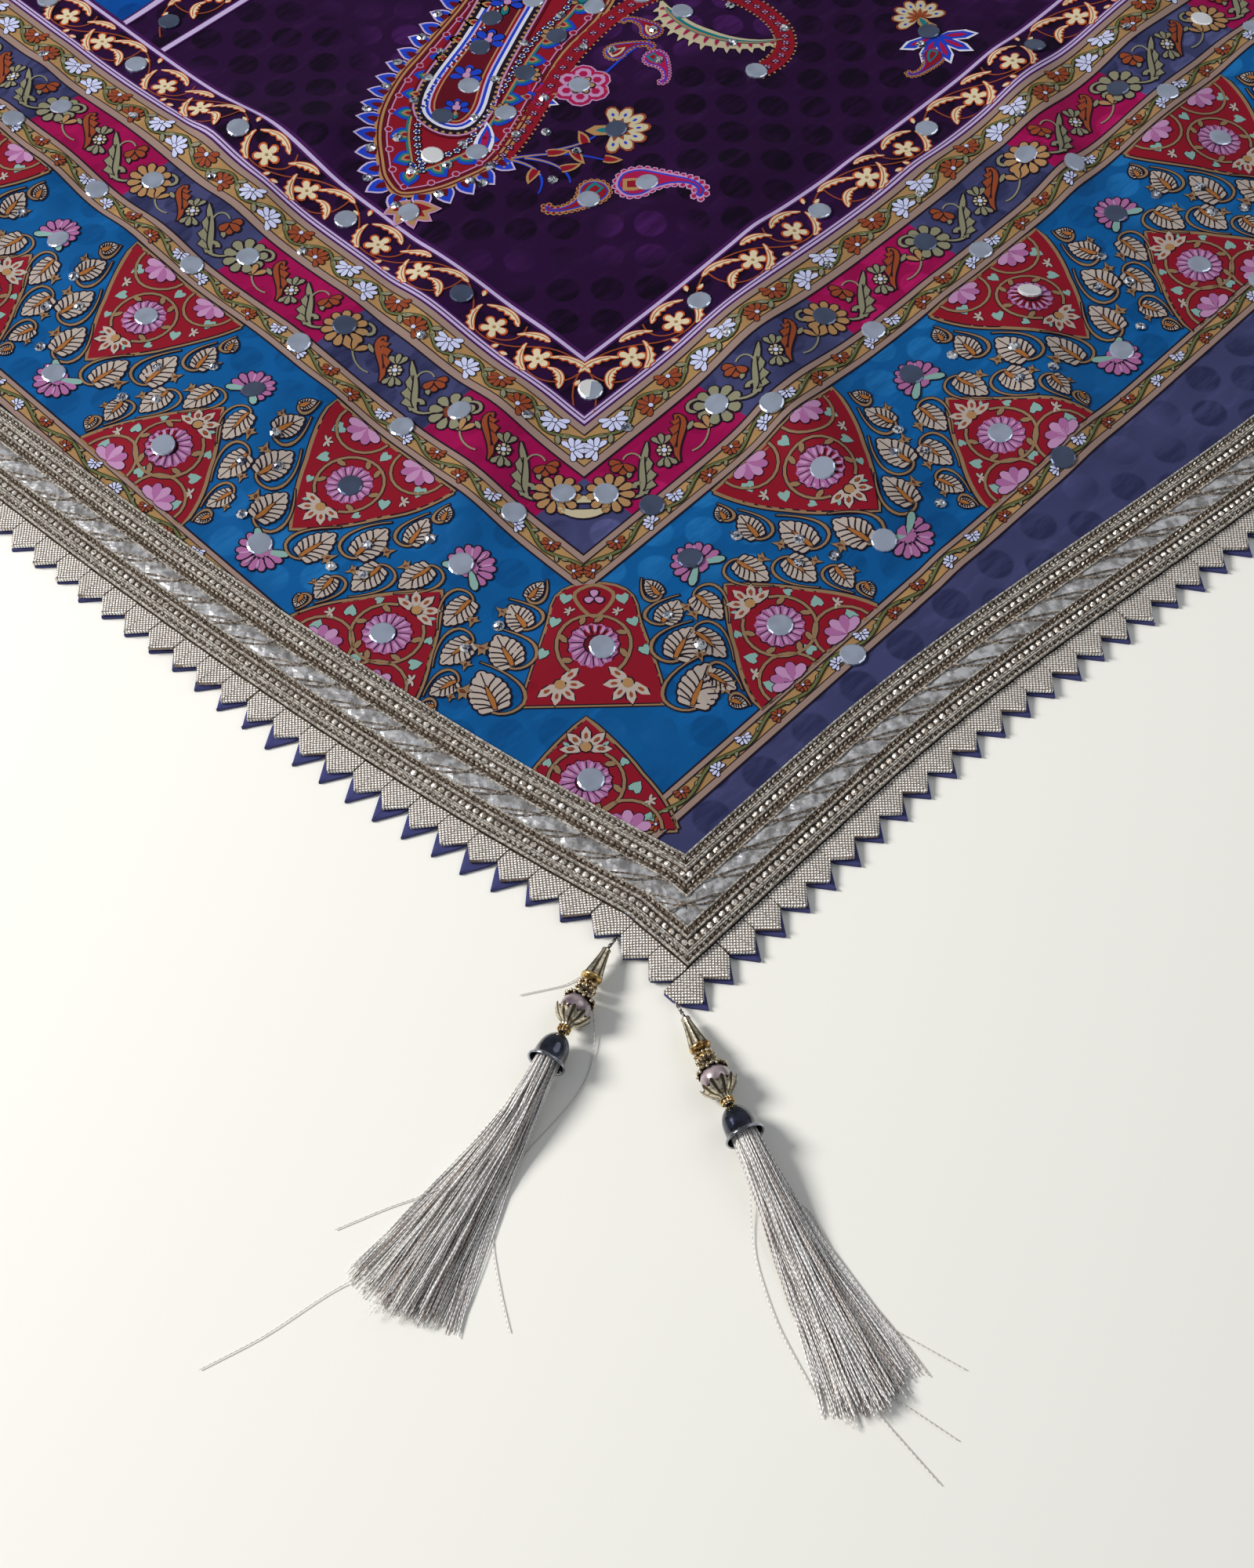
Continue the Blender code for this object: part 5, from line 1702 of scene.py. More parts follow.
def panel_unit():
    """All that hangs on one big paisley, round the middle of its fat end."""
    made = Drawing()
    made.put(great_paisley(), 0, 0)
    for spine in SPRAY_STEMS:
        spine = curve(*spine, 12)
        wide = np.linspace(0.016, 0.006, len(spine))
        made.stroke(spine, wide, wide, "royal", 1, 0.0)
        made.stroke(spine[:7], wide[:7] * 0.5, wide[:7] * 0.5, "ochre", 2, 0.0)
    for x, y, turn, long in (
        (0.34, -0.74, 318, 0.16), (0.48, -0.84, 250, 0.17), (0.17, -0.80, 200, 0.15),
        (0.29, -0.92, 330, 0.15), (0.58, -0.86, 60, 0.14), (0.56, -1.06, 300, 0.13),
        (1.00, -0.48, 300, 0.13)
    ):
        made.flames(x, y, turn, ((long, 0.085, "ochre", 2), (long * 0.78, 0.052, "red", 3)))
    ribbon = np.vstack([curve(*span) if k == 0 else curve(*span)[1:] for k, span in enumerate(RIBBON)])
    made.put(beaded_ribbon(ribbon, 0.13), 0, 0)
    crescent = curve((1.98, -0.22), (1.72, -0.58), (1.98, -1.02), (2.36, -1.14), 16)
    wide = np.interp(np.linspace(0, 1, 16), (0, 0.15, 0.45, 0.75, 1), (0.010, 0.075, 0.085, 0.045, 0.010))
    made.stroke(crescent, wide, wide * 1.15, "cream", 1, 0.008)
    for k in range(1, 15):
        across = crescent[k + 1] - crescent[k - 1]
        turn = math.degrees(math.atan2(across[1], across[0])) - 90
        made.flame(crescent[k, 0], crescent[k, 1], turn, wide[k] * 1.5 + 0.03, 0.055, "cream", 1, 0.007)
        made.flame(crescent[k, 0], crescent[k, 1], turn, wide[k] * 0.95, 0.030, "rose", 3)
    made.stroke(crescent[1:-1], wide[1:-1] * 0.55, wide[1:-1] * 0.1, "teal", 4, 0.0)
    made.stroke(crescent[1:-1], wide[1:-1] * 0.20, wide[1:-1] * 0.0 + 0.002, "ochre", 5, 0.0)
    made.put(lobed_flower(0.215), 0.98, -0.42, 10)
    made.put(blue_lily(0.22), 0.66, -0.24, -120)
    made.put(fan_flower(0.24), 0.82, -0.92, 225)
    made.put(small_paisley("red", "teal", "ochre", 0.27), 0.26, -1.24, 100)
    made.put(small_paisley("rose", "ochre", "light_pink", 0.36), 0.56, -1.42, -128)
    made.put(small_paisley("red", "cream", "ochre", 0.20), 1.40, -0.36, -100)
    made.put(small_paisley("rose", "teal", "light_pink", 0.20), 1.50, -0.64, 175)
    made.put(small_paisley("red", "cream", "ochre", 0.19), 1.70, -0.38, -20, 1.0, True)
    made.put(blue_lily(0.30), 3.05, -1.88, 150)
    made.put(fan_flower(0.20), 3.12, -1.66, -20)
    made.put(small_paisley("red", "teal", "ochre", 0.20), 2.86, -2.0, 120)
    return made


def body_spray():
    """Rust flower with blue-white leaves, repeated over the blue field."""
    made = Drawing()
    made.rosette(0, 0, 6, 0.155, 0.11, "rust", 3, 10, 360, ("ochre", 0.045))
    made.rosette(0, 0, 6, 0.085, 0.05, "red", 4, 40, 360, rim=0)
    stem = curve((0.05, -0.12), (0.16, -0.26), (0.05, -0.38), (0.18, -0.50), 9)
    made.stroke(stem, 0.009, 0.009, "ochre", 2, 0.004)
    for x, y, turn in ((0.10, -0.20, 330), (0.10, -0.34, 200), (0.13, -0.43, 340)):
        made.leaf(x, y, turn, 0.12, 0.05, "mint", 3, 0.006)
    made.rosette(0.24, -0.42, 5, 0.065, 0.045, "red", 3, 0, 360, ("cream", 0.016), rim=0)
    made.rosette(-0.22, 0.20, 5, 0.070, 0.05, "rust", 3, 30, 360, ("cream", 0.018), rim=0)
    made.leaf(-0.12, 0.10, 150, 0.10, 0.05, "mint", 3, 0.006)
    return made


# Mirrors and crystals, in metres
MIRROR_RADIUS = 0.0034
BIT_LIFT = 0.0003
CRYSTAL_RADIUS = 0.0017


def side_tiles(start, pitch_wanted):
    """Starts of a repeating motif along a side, and along the short end between its corners."""
    length = ACROSS - 2 * start
    count = round(length / pitch_wanted)
    pitch = length / count
    side = np.arange(start, FLAT_END + TURN, pitch)
    return pitch, {"left": side, "right": side, "end": start + pitch * np.arange(count)}


class Spots:
    """Places of the glued mirrors and crystals, each a little off the print's own."""

    def __init__(self, rng):
        self.rng = rng
        self.mirrors, self.crystals = [], []

    def near(self, side, along, inward, jitter, jitter_in):
        """A place near one on a side, a random step along it and a random step inward."""
        along = along + self.rng.normal(0, jitter)
        return to_cloth(side, along, inward + self.rng.normal(0, jitter_in))

    def mirror(self, side, along, inward, jitter=0.04):
        self.mirrors.append(self.near(side, along, inward, jitter, jitter * 0.6))

    def crystal(self, side, along, inward):
        self.crystals.append(self.near(side, along, inward, 0.02, 0.02))


SIDES = (("left", 20), ("right", 20), ("end", 11))  # and the blocks along each


def lay_stripes(pages):
    for stripe in STRIPES:
        border_stripe(pages["stripes"], stripe.low, stripe.high, stripe.ink, 1)
    for centre, wide, first, second in (
        (0.148, 0.165, "ice", "rust"), (-0.518, 0.100, "rust", "ice"), (-2.007, 0.085, "ice", "rust")
    ):
        pitch, tiles = side_tiles(centre + 0.05, 1.0)
        unit = vine_unit(wide * 1.12, first, second)
        unit.points[:, 0] *= pitch
        for side, starts in tiles.items():
            for s in starts:
                pages["vines_" + side].stamp(unit, side, s, centre)


def lay_blocks(pages, spots):
    """The magenta and slate blocks' motifs, with a flower over each joint of two blocks."""
    flowers = (sunflower("ochre", 11), sunflower("olive", 9))
    motifs = block_motifs()
    for side, blocks in SIDES:
        for k in range(blocks):
            page = pages["blocks_" + side]
            page.stamp(motifs, side, k, 0)
            page.stamp(flowers[k % 2], side, k + (0.02 if k == 0 else -0.04), -0.205)
            spots.mirror(side, k + (0.0 if k == 0 else -0.04), -0.19, 0.02)
            if side == "end" and k == 10:
                page.stamp(flowers[1], side, 10.98, -0.205)
                spots.mirror(side, 10.99, -0.19, 0.02)
            spots.crystal(side, k + 0.30 + 0.5 * spots.rng.random(), 0.10)
            spots.mirror(side, k + 0.12, -0.50, 0.03)
            if k % 2 == 0:
                spots.mirror(side, k + 0.1, -2.0, 0.03)
    for x, y, turn in ((-0.16, -0.16, -45), (ACROSS + 0.16, -0.16, 45)):
        pages["blocks_end"].stamp(corner_block(), "end", x, y, turn)


def lay_scrolls(pages, spots):
    """The purple band's scroll on three sides, and across the panel's far end."""
    scroll = scroll_unit()
    page = pages["scrolls"]
    _, tiles = side_tiles(0.48, 1.12)
    for side, starts in tiles.items():
        for s in starts:
            page.stamp(scroll, side, s, 0)
            spots.mirror(side, s, 0.48)
    for k in range(8):
        page.stamp(scroll, "end", 0.95 + 1.12 * k, FIELD_END - 0.275)
        spots.mirror("end", 0.95 + 1.12 * k, FIELD_END + 0.2)


def lay_kites(pages, spots):
    """Kites with their points in and out in turn, along the blue band and round its corners."""
    inner, outer = kite(0.53, 0.37, -0.46), kite(0.49, 0.31, -0.42)
    spray, lotus = spray_pair(), half_lotus()
    for side, blocks in SIDES:
        page = pages["blue_" + side]
        for s in range(blocks):
            if s % 2:
                page.stamp(inner, side, s, -1.02)
                page.stamp(spray, side, s, -1.02)
                page.stamp(lotus, side, s, -1.72, 180)
                spots.mirror(side, s, -1.01, 0.025)
                spots.mirror(side, s, -1.70)
            else:
                page.stamp(outer, side, s, -1.61, 180)
                page.stamp(spray, side, s, -1.61, 180, 0.88)
                page.stamp(lotus, side, s, -0.95)
                spots.mirror(side, s, -1.61, 0.025)
                spots.mirror(side, s, -0.95)
            for x, y in ((0.42, 0.22), (-0.42, 0.22), (0.30, 0.62), (-0.40, 0.5)):
                spots.crystal(side, s + x, -1.02 - y if s % 2 else -1.61 + y)
    page = pages["blue_end"]
    for x, turn, nudge in ((-0.93, -45, 0.07), (ACROSS + 0.93, 45, -0.07)):
        page.stamp(corner_kite(), "end", x + nudge, -0.93 - abs(nudge) * 0.3, turn)
        spots.mirrors.append((x + nudge * 1.3, -1.0))
        page.stamp(outer, "end", x + (-0.60 if turn < 0 else 0.60), -1.56, turn + 180)
        spots.mirrors.append((x + (-0.57 if turn < 0 else 0.57), -1.57))


def corner_kite():
    """The bell-shaped red field on the corner's diagonal, its wide end away from the corner."""
    made = Drawing()
    left = np.vstack(
        [
            curve((-0.40, -0.38), (-0.36, -0.10), (-0.26, 0.05), (-0.24, 0.30), 10),
            curve((-0.24, 0.30), (-0.22, 0.44), (-0.10, 0.47), (0, 0.47), 6)[1:]
        ]
    )
    outline = np.vstack([left, left[::-1][1:] * [-1, 1]])
    made.fill(grown(outline, 0.018), "gold", 1, 0.007)
    made.fill(outline, "red", 2, 0.007)
    ringed_ruffle(made, arc(0, 0, RING_RADIUS, -50, 230, 20), 0.010, 0.005, (20, 75, 105, 160, 205, -25))
    pear = smooth_closed(
        ((0, 0.20), (-0.09, 0.30), (-0.11, 0.40), (0, 0.46), (0.11, 0.40), (0.09, 0.30)), 3
    )
    ring(made, pear, -0.012, 0.012, "gold", 4)
    made.rosette(0, 0.36, 3, 0.06, 0.05, "light_pink", 4, 90, 240)
    for sign in (-1, 1):
        made.put(star_flower(0.15), sign * 0.20, -0.24, 180 - 38 * sign)
        made.put(heart(0.055), sign * 0.165, 0.36, 12 * sign)
        made.put(heart(0.050), sign * 0.225, 0.17, 20 * sign)
        made.put(heart(0.045), sign * 0.29, -0.04, 30 * sign)
        for turn in SPRIG:
            made.leaf(sign * 0.14, 0.245, turn, 0.04, 0.016, "leaf", 4, 0.004)
        for x, y, turn, long, wide in (
            (0.38, 0.38, 125, 0.13, 0.09), (0.40, 0.16, 62, 0.19, 0.14), (0.47, -0.10, 66, 0.23, 0.18),
            (0.56, -0.40, 70, 0.27, 0.21)
        ):
            one = leaf_in_curl(long, wide)
            made.put(one, sign * x, y, sign * turn, 1.0, sign < 0)
        for x, y, turn, size in (
            (0.53, 0.28, -50, 0.06), (0.64, 0.02, -58, 0.075), (0.74, -0.28, -60, 0.085)
        ):
            made.put(bract(size), sign * x, y, sign * turn)
    return made


# Places round the paisley's middle
PANEL_MIRRORS = (
    (-0.22, -0.13), (0.02, -0.39), (0.07, 0.03), (0.39, 0.12), (0.74, 0.37), (1.07, 0.54),
    (0.41, -0.23), (0.79, -0.05), (1.23, 0.08), (1.63, 0.10), (1.39, 0.47), (-0.66, -0.47),
    (0.24, -1.26), (0.96, -0.41), (0.82, -0.92), (1.90, -0.06), (0.56, -1.42), (2.00, -0.42),
    (1.92, -1.22), (1.74, 0.96), (3.05, -1.80), (2.20, 1.20),
)
PANEL_CRYSTALS = (
    (-0.19, -0.58), (0.00, -0.58), (-0.27, 0.05), (-0.43, -0.21), (-0.23, -0.35), (0.03, 0.26),
    (0.31, 0.44), (0.61, 0.57), (-0.01, -0.26), (0.24, -0.11), (0.62, 0.07), (1.01, 0.23),
    (1.39, 0.25), (1.27, -0.13), (0.33, -0.43), (0.50, -0.58), (1.40, -0.37), (1.51, -0.64),
    (0.50, -0.85), (0.23, -0.95), (1.71, -0.37), (0.71, -0.30), (2.00, -0.90), (2.38, -1.05),
    (2.30, -0.62), (2.92, -1.86), (1.60, 0.70), (1.95, 1.10),
)


PANEL_PLACE = (1.50, 2.95)  # of the left paisley; the right one faces it


def lay_panel(pages, spots):
    """Two big paisleys that face each other, and the lines along the cross band."""
    page = pages["panel"]
    unit = panel_unit()
    petals = paisley_petals(smooth_closed(PAISLEY, 4), -0.05, 0.30)
    crystals = [*PANEL_CRYSTALS, *((x, y) for x, y, _ in petals)]
    rng = spots.rng
    for origin, sign in ((PANEL_PLACE[0], 1), (ACROSS - PANEL_PLACE[0], -1)):
        page.stamp(unit, "end", origin, PANEL_PLACE[1], flip=sign < 0)
        for places, into in ((PANEL_MIRRORS, spots.mirrors), (crystals, spots.crystals)):
            for x, y in places:
                u = origin + sign * x + rng.normal(0, 0.02)
                into.append((u, PANEL_PLACE[1] + y + rng.normal(0, 0.02)))
    for v in (FIELD_END, CROSS_BAND_END):
        for shift, wide, ink in ((0, 0.042, "lavender"), (-0.028, 0.013, "plum"), (0.028, 0.013, "plum")):
            line = Drawing()
            u = np.linspace(0.70, ACROSS - 0.70, 140)
            line.line(np.stack([u, np.full(140, v + shift)], 1), wide, ink, 1)
            pages["stripes"].stamp(line, "end", 0, 0)


def lay_body(pages, spots):
    rng = spots.rng
    spray = body_spray()
    rows = np.arange(5.85, FLAT_END - 0.2, 0.80)
    for row, v in enumerate(rows):
        for u in np.arange(1.15 + 0.45 * (row % 2), ACROSS - 1.0, 0.90):
            pages["body"].stamp(
                spray, "end", u, v, rng.uniform(-25, 25), rng.uniform(0.95, 1.15), bool(rng.integers(2))
            )
            if rng.random() < 0.35:
                spots.mirrors.append((u, v))


def tangent_frame(u, v, lift):
    """Middle, two level directions and the way up of places on the cloth."""
    step = 0.02
    middle = on_cloth(u, v, lift)
    across = on_cloth(u + step, v, lift) - on_cloth(u - step, v, lift)
    along = on_cloth(u, v + step, lift) - on_cloth(u, v - step, lift)
    across /= np.linalg.norm(across, axis=1)[:, None]
    up = np.cross(across, along)
    up /= np.linalg.norm(up, axis=1)[:, None]
    return middle, across, np.cross(up, across), up


def rigid_bits(name, places, profile, sides, radius, tilt, materials, shares, rng, facets=False):
    """Small turned bits glued flat on the cloth, a little tilted; profile rows are (radius, height)."""
    places = np.array(places)
    u, v = places[:, 0], places[:, 1]
    inside = within_lace(u, v, 0.06) & (v < FLAT_END - 0.05)
    u, v = u[inside], v[inside]
    middle, across, along, up = tangent_frame(u, v, BIT_LIFT)
    kinds = rng.choice(len(materials), len(u), p=shares)
    up = up + across * rng.normal(0, tilt, (len(u), 1)) + along * rng.normal(0, tilt, (len(u), 1))
    up /= np.linalg.norm(up, axis=1)[:, None]
    across = np.cross(along, up)
    across /= np.linalg.norm(across, axis=1)[:, None]
    along = np.cross(up, across)
    heap = Heap()
    angle = 2 * math.pi * np.arange(sides) / sides
    for k in range(len(u)):
        turn = rng.uniform(0, 2 * math.pi)
        points = []
        for share, height in profile:
            ring_points = (
                middle[k]
                + radius * share * (
                    np.cos(angle + turn)[:, None] * across[k] + np.sin(angle + turn)[:, None] * along[k]
                )
                + height * up[k]
            )
            points.append(ring_points)
        points = np.concatenate([*points, [middle[k] + profile[-1][1] * up[k]]])
        faces = grid_faces(len(profile), sides, closed=True)
        last = (len(profile) - 1) * sides
        j = np.arange(sides)
        lid = np.stack([last + j, last + (j + 1) % sides, np.full(sides, len(points) - 1)], 1)
        faces = np.concatenate([faces, lid])
        cut = np.repeat(rng.choice(len(materials), (len(faces) + 1) // 2, p=shares), 2)[: len(faces)]
        heap.add(points, faces, cut if facets else int(kinds[k]))
    piece = heap.build(name, materials, smooth=False)
    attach(piece, "root")
    return piece


def mirror_glass(name, colour, rough):
    """Backed glass with a painted reflection: its colour stands for what it happens to reflect."""
    nodes = Nodes(name, colour, rough, 0.8, coat=0.6)
    smear = nodes.noise(nodes.place(), 190.0, 1.0)
    nodes.paint(nodes.mix(nodes.between(smear, 0.35, 0.7), colour, tuple(0.8 * c for c in colour)))
    nodes.gloss(smear, 0.35, 0.7, rough, rough + 0.1)
    return nodes.material


def crystal_glass(name, colour):
    nodes = Nodes(name, colour, 0.10, 0.7, coat=0.6)
    # Painted glints: random flecks between a darker copy of the colour and the colour itself.
    painted_glint = nodes.noise(nodes.place(), 700.0, 1.0)
    nodes.paint(nodes.mix(nodes.between(painted_glint, 0.35, 0.65), tuple(0.6 * c for c in colour), colour))
    return nodes.material


# Tassels: the part's own places and sizes, in metres and degrees
Tassel = namedtuple("Tassel", "name side layer heading fringe_heading spread")
TASSELS = (
    Tassel("near_upper", "left", "upper", -112.0, -111.3, 0.021),
    Tassel("near_lower", "left", "lower", -159.8, -164.6, 0.026),
    Tassel("side_upper", "right", "upper", -62.0, -66.0, 0.023),
    Tassel("side_lower", "right", "lower", -17.0, -12.0, 0.025),
)
THREAD_START_HEIGHT = {"upper": WALL + GAP + WALL / 2, "lower": WALL / 2}
CONE_AXIS_HEIGHT = 0.00365
BELL_AXIS_HEIGHT = 0.0053
CONE_START = 0.0045
CONE_LENGTH = 0.0100
SPACER_START = 0.0148
SPACER_LENGTH = 0.0024
PEARL_CENTRE = 0.0224
PEARL_RADIUS = 0.0038
CUP_BASE = 0.0274
BELL_START = 0.0301
BELL_RIM = 0.0386
FRINGE_LENGTH = 0.066
FRINGE_ROOTS = 0.0031
STRANDS = 340
STRAND_RADIUS = 0.00017
STRAND_STEPS = 9
LATHE_STEPS = 40
# Stray threads, as (u, v) of each one's points, lying on the floor
STRAYS = {
    "near_upper": (
        ((-2.52, -3.95), (-2.50, -4.12), (-2.593, -4.334)),
        ((-2.74, -4.35), (-2.69, -4.70), (-2.575, -5.172)),
        ((-3.00, -4.80), (-3.046, -5.227), (-3.068, -5.435)),
        ((-2.95, -4.80), (-2.89, -5.15), (-2.856, -5.36)),
        ((-2.56, -3.76), (-2.86, -4.059), (-3.039, -4.38), (-3.161, -4.743)),
    ),
    "near_lower": (
        (
            (-2.42, -2.50), (-2.616, -2.738), (-2.819, -2.845), (-3.094, -2.87), (-3.322, -2.879),
            (-3.604, -3.004)
        ),
        ((-4.05, -2.84), (-4.42, -2.72), (-4.80, -2.66), (-5.12, -2.56)),
        ((-3.62, -2.76), (-3.943, -2.60), (-4.204, -2.498)),
        ((-3.40, -2.85), (-3.70, -3.08), (-3.86, -3.32), (-3.96, -3.49)),
        ((-2.22, -2.40), (-2.46, -2.36), (-2.676, -2.221)),
    ),
    "side_upper": (
        ((14.45, -4.60), (14.72, -4.92), (14.84, -5.28)),
        ((14.20, -3.90), (14.12, -4.30), (14.22, -4.72)),
    ),
    "side_lower": (
        ((15.30, -3.02), (15.66, -3.20), (15.92, -3.14)),
        ((14.90, -2.90), (15.20, -2.66), (15.62, -2.58)),
    ),
}


def tassel_place(tassel):
    """The bead stack's own axes and place: Z points back up the tassel, X lies level."""
    heading = math.radians(tassel.heading)
    climb = (BELL_AXIS_HEIGHT - CONE_AXIS_HEIGHT) / (BELL_RIM - CONE_START)
    level = math.sqrt(1 - climb**2)
    down = Vector((math.cos(heading) * level, math.sin(heading) * level, climb))
    low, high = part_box("pearl_" + tassel.name)
    start = (Vector(low) + Vector(high)) / 2 - down * PEARL_CENTRE
    x_axis = Vector((0, 0, 1)).cross(-down).normalized()
    y_axis = (-down).cross(x_axis)
    return Matrix.Translation(start) @ Matrix((x_axis, y_axis, -down)).transposed().to_4x4()


def placed(place, points):
    turn = np.array(place.to_3x3())
    return np.asarray(points) @ turn.T + np.array(place.translation)


def lathe(heap, place, profile, slot, flutes=0, depth=0.0, scallop=0.0, steps=LATHE_STEPS):
    """A turned shape from (radius, distance down), with flutes round it and a scalloped last ring."""
    angle = 2 * math.pi * np.arange(steps) / steps
    wave = np.cos(flutes * angle) if flutes else np.zeros(steps)
    rings, uvs = [], []
    for k, (radius, down) in enumerate(profile):
        share = k / (len(profile) - 1)
        fluted = radius * (1 + depth * wave)
        lower = down + scallop * wave * share**2
        rings.append(np.stack([fluted * np.cos(angle), fluted * np.sin(angle), -lower + 0 * angle], 1))
        uvs.append(np.stack([flutes * angle / (2 * math.pi), np.full(steps, down * 1000)], 1))
    points = placed(place, np.concatenate(rings))
    heap.add(points, grid_faces(len(profile), steps, closed=True), slot, np.concatenate(uvs))


def ball_profile(centre, radius, start, end, steps):
    angle = np.radians(np.linspace(start, end, steps + 1))
    return list(zip(radius * np.sin(angle), centre - radius * np.cos(angle)))


def bead_ring(heap, place, ring_radius, down, bead_radius, count, slot, wave=0.0):
    """Small balls round the stack."""
    for k in range(count):
        angle = 2 * math.pi * k / count
        lower = down + wave * math.cos(angle * count / 2)
        middle = Vector((ring_radius * math.cos(angle), ring_radius * math.sin(angle), -lower))
        lathe(
            heap, place @ Matrix.Translation(middle), ball_profile(0, bead_radius, 4, 176, 5), slot,
            steps=8
        )


def tube(heap, points, radius, slot, sides=3, taper=1.0, twist_from=0.0):
    """A thin strand through points, its thickness falling to taper at its end."""
    points = np.asarray(points, float)
    along = np.gradient(points, axis=0)
    along /= np.linalg.norm(along, axis=1)[:, None] + 1e-12
    level = np.cross(along, (0.0, 0.0, 1.0))
    level /= np.linalg.norm(level, axis=1)[:, None] + 1e-12
    up = np.cross(level, along)
    n = len(points)
    angle = 2 * math.pi * np.arange(sides) / sides
    thick = radius * np.linspace(1, taper, n)[:, None, None]
    rings = points[:, None] + thick * (
        np.cos(angle)[None, :, None] * level[:, None] + np.sin(angle)[None, :, None] * up[:, None]
    )
    length = np.concatenate([[0], np.cumsum(np.linalg.norm(np.diff(points, axis=0), axis=1))]) * 1000
    uv = np.stack(np.broadcast_arrays(np.arange(sides)[None] / sides, length[:, None] + twist_from), -1)
    heap.add(rings.reshape(-1, 3), grid_faces(n, sides, closed=True), slot, uv.reshape(-1, 2))


def smooth_line(points, count):
    """A rounded line through a few points."""
    points = np.asarray(points, float)
    where = np.linspace(0, 1, len(points))
    at = np.linspace(0, 1, count)
    line = np.stack([np.interp(at, where, points[:, k]) for k in range(points.shape[1])], 1)
    for _ in range(3):
        line[1:-1] = (line[:-2] + 2 * line[1:-1] + line[2:]) / 4
    return line


def make_thread(tassel, place, materials):
    """Two twisted strands from the tooth to the cone, with a knot by the lace."""
    heap = Heap()
    heading = math.radians(tassel.heading)
    cone_end = np.array(place @ Vector((0, 0, -CONE_START - 0.0004)))
    start = cone_end - np.array([math.cos(heading), math.sin(heading), 0]) * (CONE_START + 0.0012)
    start[2] = THREAD_START_HEIGHT[tassel.layer]
    for strand in range(2):
        t = np.linspace(0, 1, 26)
        turn = 2 * math.pi * 2.6 * t + math.pi * strand
        line = start + (cone_end - start) * t[:, None]
        side = np.array([-math.sin(heading), math.cos(heading), 0])
        line = line + 0.00022 * (
            np.cos(turn)[:, None] * side + np.sin(turn)[:, None] * np.array([0, 0, 1.0])
        )
        tube(heap, line, 0.00021, strand, 6)
    for k in range(3):
        knot = Matrix.Translation(Vector(start + (cone_end - start) * (0.22 + 0.20 * k)))
        lathe(heap, knot, ball_profile(0, 0.00048, 4, 176, 6), k % 2, steps=10)
    piece = heap.build("thread_" + tassel.name + "_looks", materials, uv_name="strand")
    stand_in(piece, "thread_" + tassel.name)


SILVER, GOLD, DARK, BEAD = range(4)  # places in METALS


def make_cone(place):
    """A ribbed cone with a gold band at its wide end."""
    cone = Heap()
    end = CONE_START + CONE_LENGTH
    neck = ((0.0003, 0.0), (0.0010, 0.0), (0.00115, 0.0003), (0.0010, 0.0007))
    profile = [(radius, CONE_START + down) for radius, down in neck]
    for t in np.linspace(0, 1, 8)[1:]:
        profile.append((0.00105 + 0.0013 * t**1.25, CONE_START + 0.0007 + 0.0074 * t))
    lathe(cone, place, profile, SILVER, 8, 0.07)
    band = ((0.0023, 0.0019), (0.0027, 0.0015), (0.0026, 0.0010), (0.0022, 0.0006), (0.0008, 0.0003))
    lathe(cone, place, [(radius, end - up) for radius, up in band], GOLD)
    return cone


def make_spacer(place):
    """Two rings of beads round a ridge."""
    spacer = Heap()
    middle, end = SPACER_START + SPACER_LENGTH / 2, SPACER_START + SPACER_LENGTH
    core = [
        (0.0006, SPACER_START), (0.0017, SPACER_START + 0.0002), (0.0017, end - 0.0002), (0.0006, end)
    ]
    lathe(spacer, place, core, DARK)
    ridge = ((0.0017, -0.0004), (0.0021, -0.0002), (0.0021, 0.0002), (0.0017, 0.0004))
    lathe(spacer, place, [(radius, middle + down) for radius, down in ridge], GOLD, 14, 0.04)
    bead_ring(spacer, place, 0.0021, SPACER_START + 0.0005, 0.00050, 13, BEAD)
    bead_ring(spacer, place, 0.0023, end - 0.0005, 0.00050, 14, BEAD)
    return spacer


OVER_PEARL = PEARL_RADIUS + 0.0004


def make_cap(place):
    """The beaded cap above the pearl."""
    cap = Heap()
    outer = OVER_PEARL + 0.0004
    lathe(cap, place, ball_profile(PEARL_CENTRE, outer, 6, 56, 7), SILVER, 12, 0.018, 0.0004)
    lathe(cap, place, ball_profile(PEARL_CENTRE, OVER_PEARL, 56, 6, 5), DARK, 12, 0.018)
    for at_angle, count, size in ((56, 20, 0.00040), (40, 14, 0.00030), (24, 9, 0.00030)):
        a = math.radians(at_angle)
        down = PEARL_CENTRE - outer * math.cos(a)
        bead_ring(cap, place, outer * math.sin(a), down, size, count, BEAD, 0.0002)
    return cap


def make_cup(place):
    """The melon cup below the pearl, with its neck."""
    cup = Heap()
    outer = ball_profile(PEARL_CENTRE, OVER_PEARL + 0.00055, 160, 112, 8)
    neck = [(0.0011, CUP_BASE + 0.0021), (0.0013, CUP_BASE + 0.0012), (0.0011, CUP_BASE + 0.0004)]
    lathe(
        cup, place, neck + outer[:-1] + [(outer[-1][0] * 1.03, outer[-1][1])], SILVER, 11, 0.075, -0.0007,
        66
    )
    lathe(
        cup, place, ball_profile(PEARL_CENTRE, OVER_PEARL + 0.0001, 112, 170, 6), DARK, 11, 0.05, 0.0, 66
    )
    for down in (CUP_BASE + 0.0007, CUP_BASE + 0.0016):
        bead_ring(cup, place, 0.0014, down, 0.00034, 12, GOLD)
    return cup


def make_beads(tassel, place, metals):
    """Cone, ringed spacer, beaded cap and melon cup, each in its own piece."""
    for node, make in (
        ("cone", make_cone), ("spacer", make_spacer), ("cap", make_cap), ("cup", make_cup)
    ):
        name = node + "_" + tassel.name
        piece = make(place).build(name + "_looks", metals, uv_name="round")
        stand_in(piece, name)


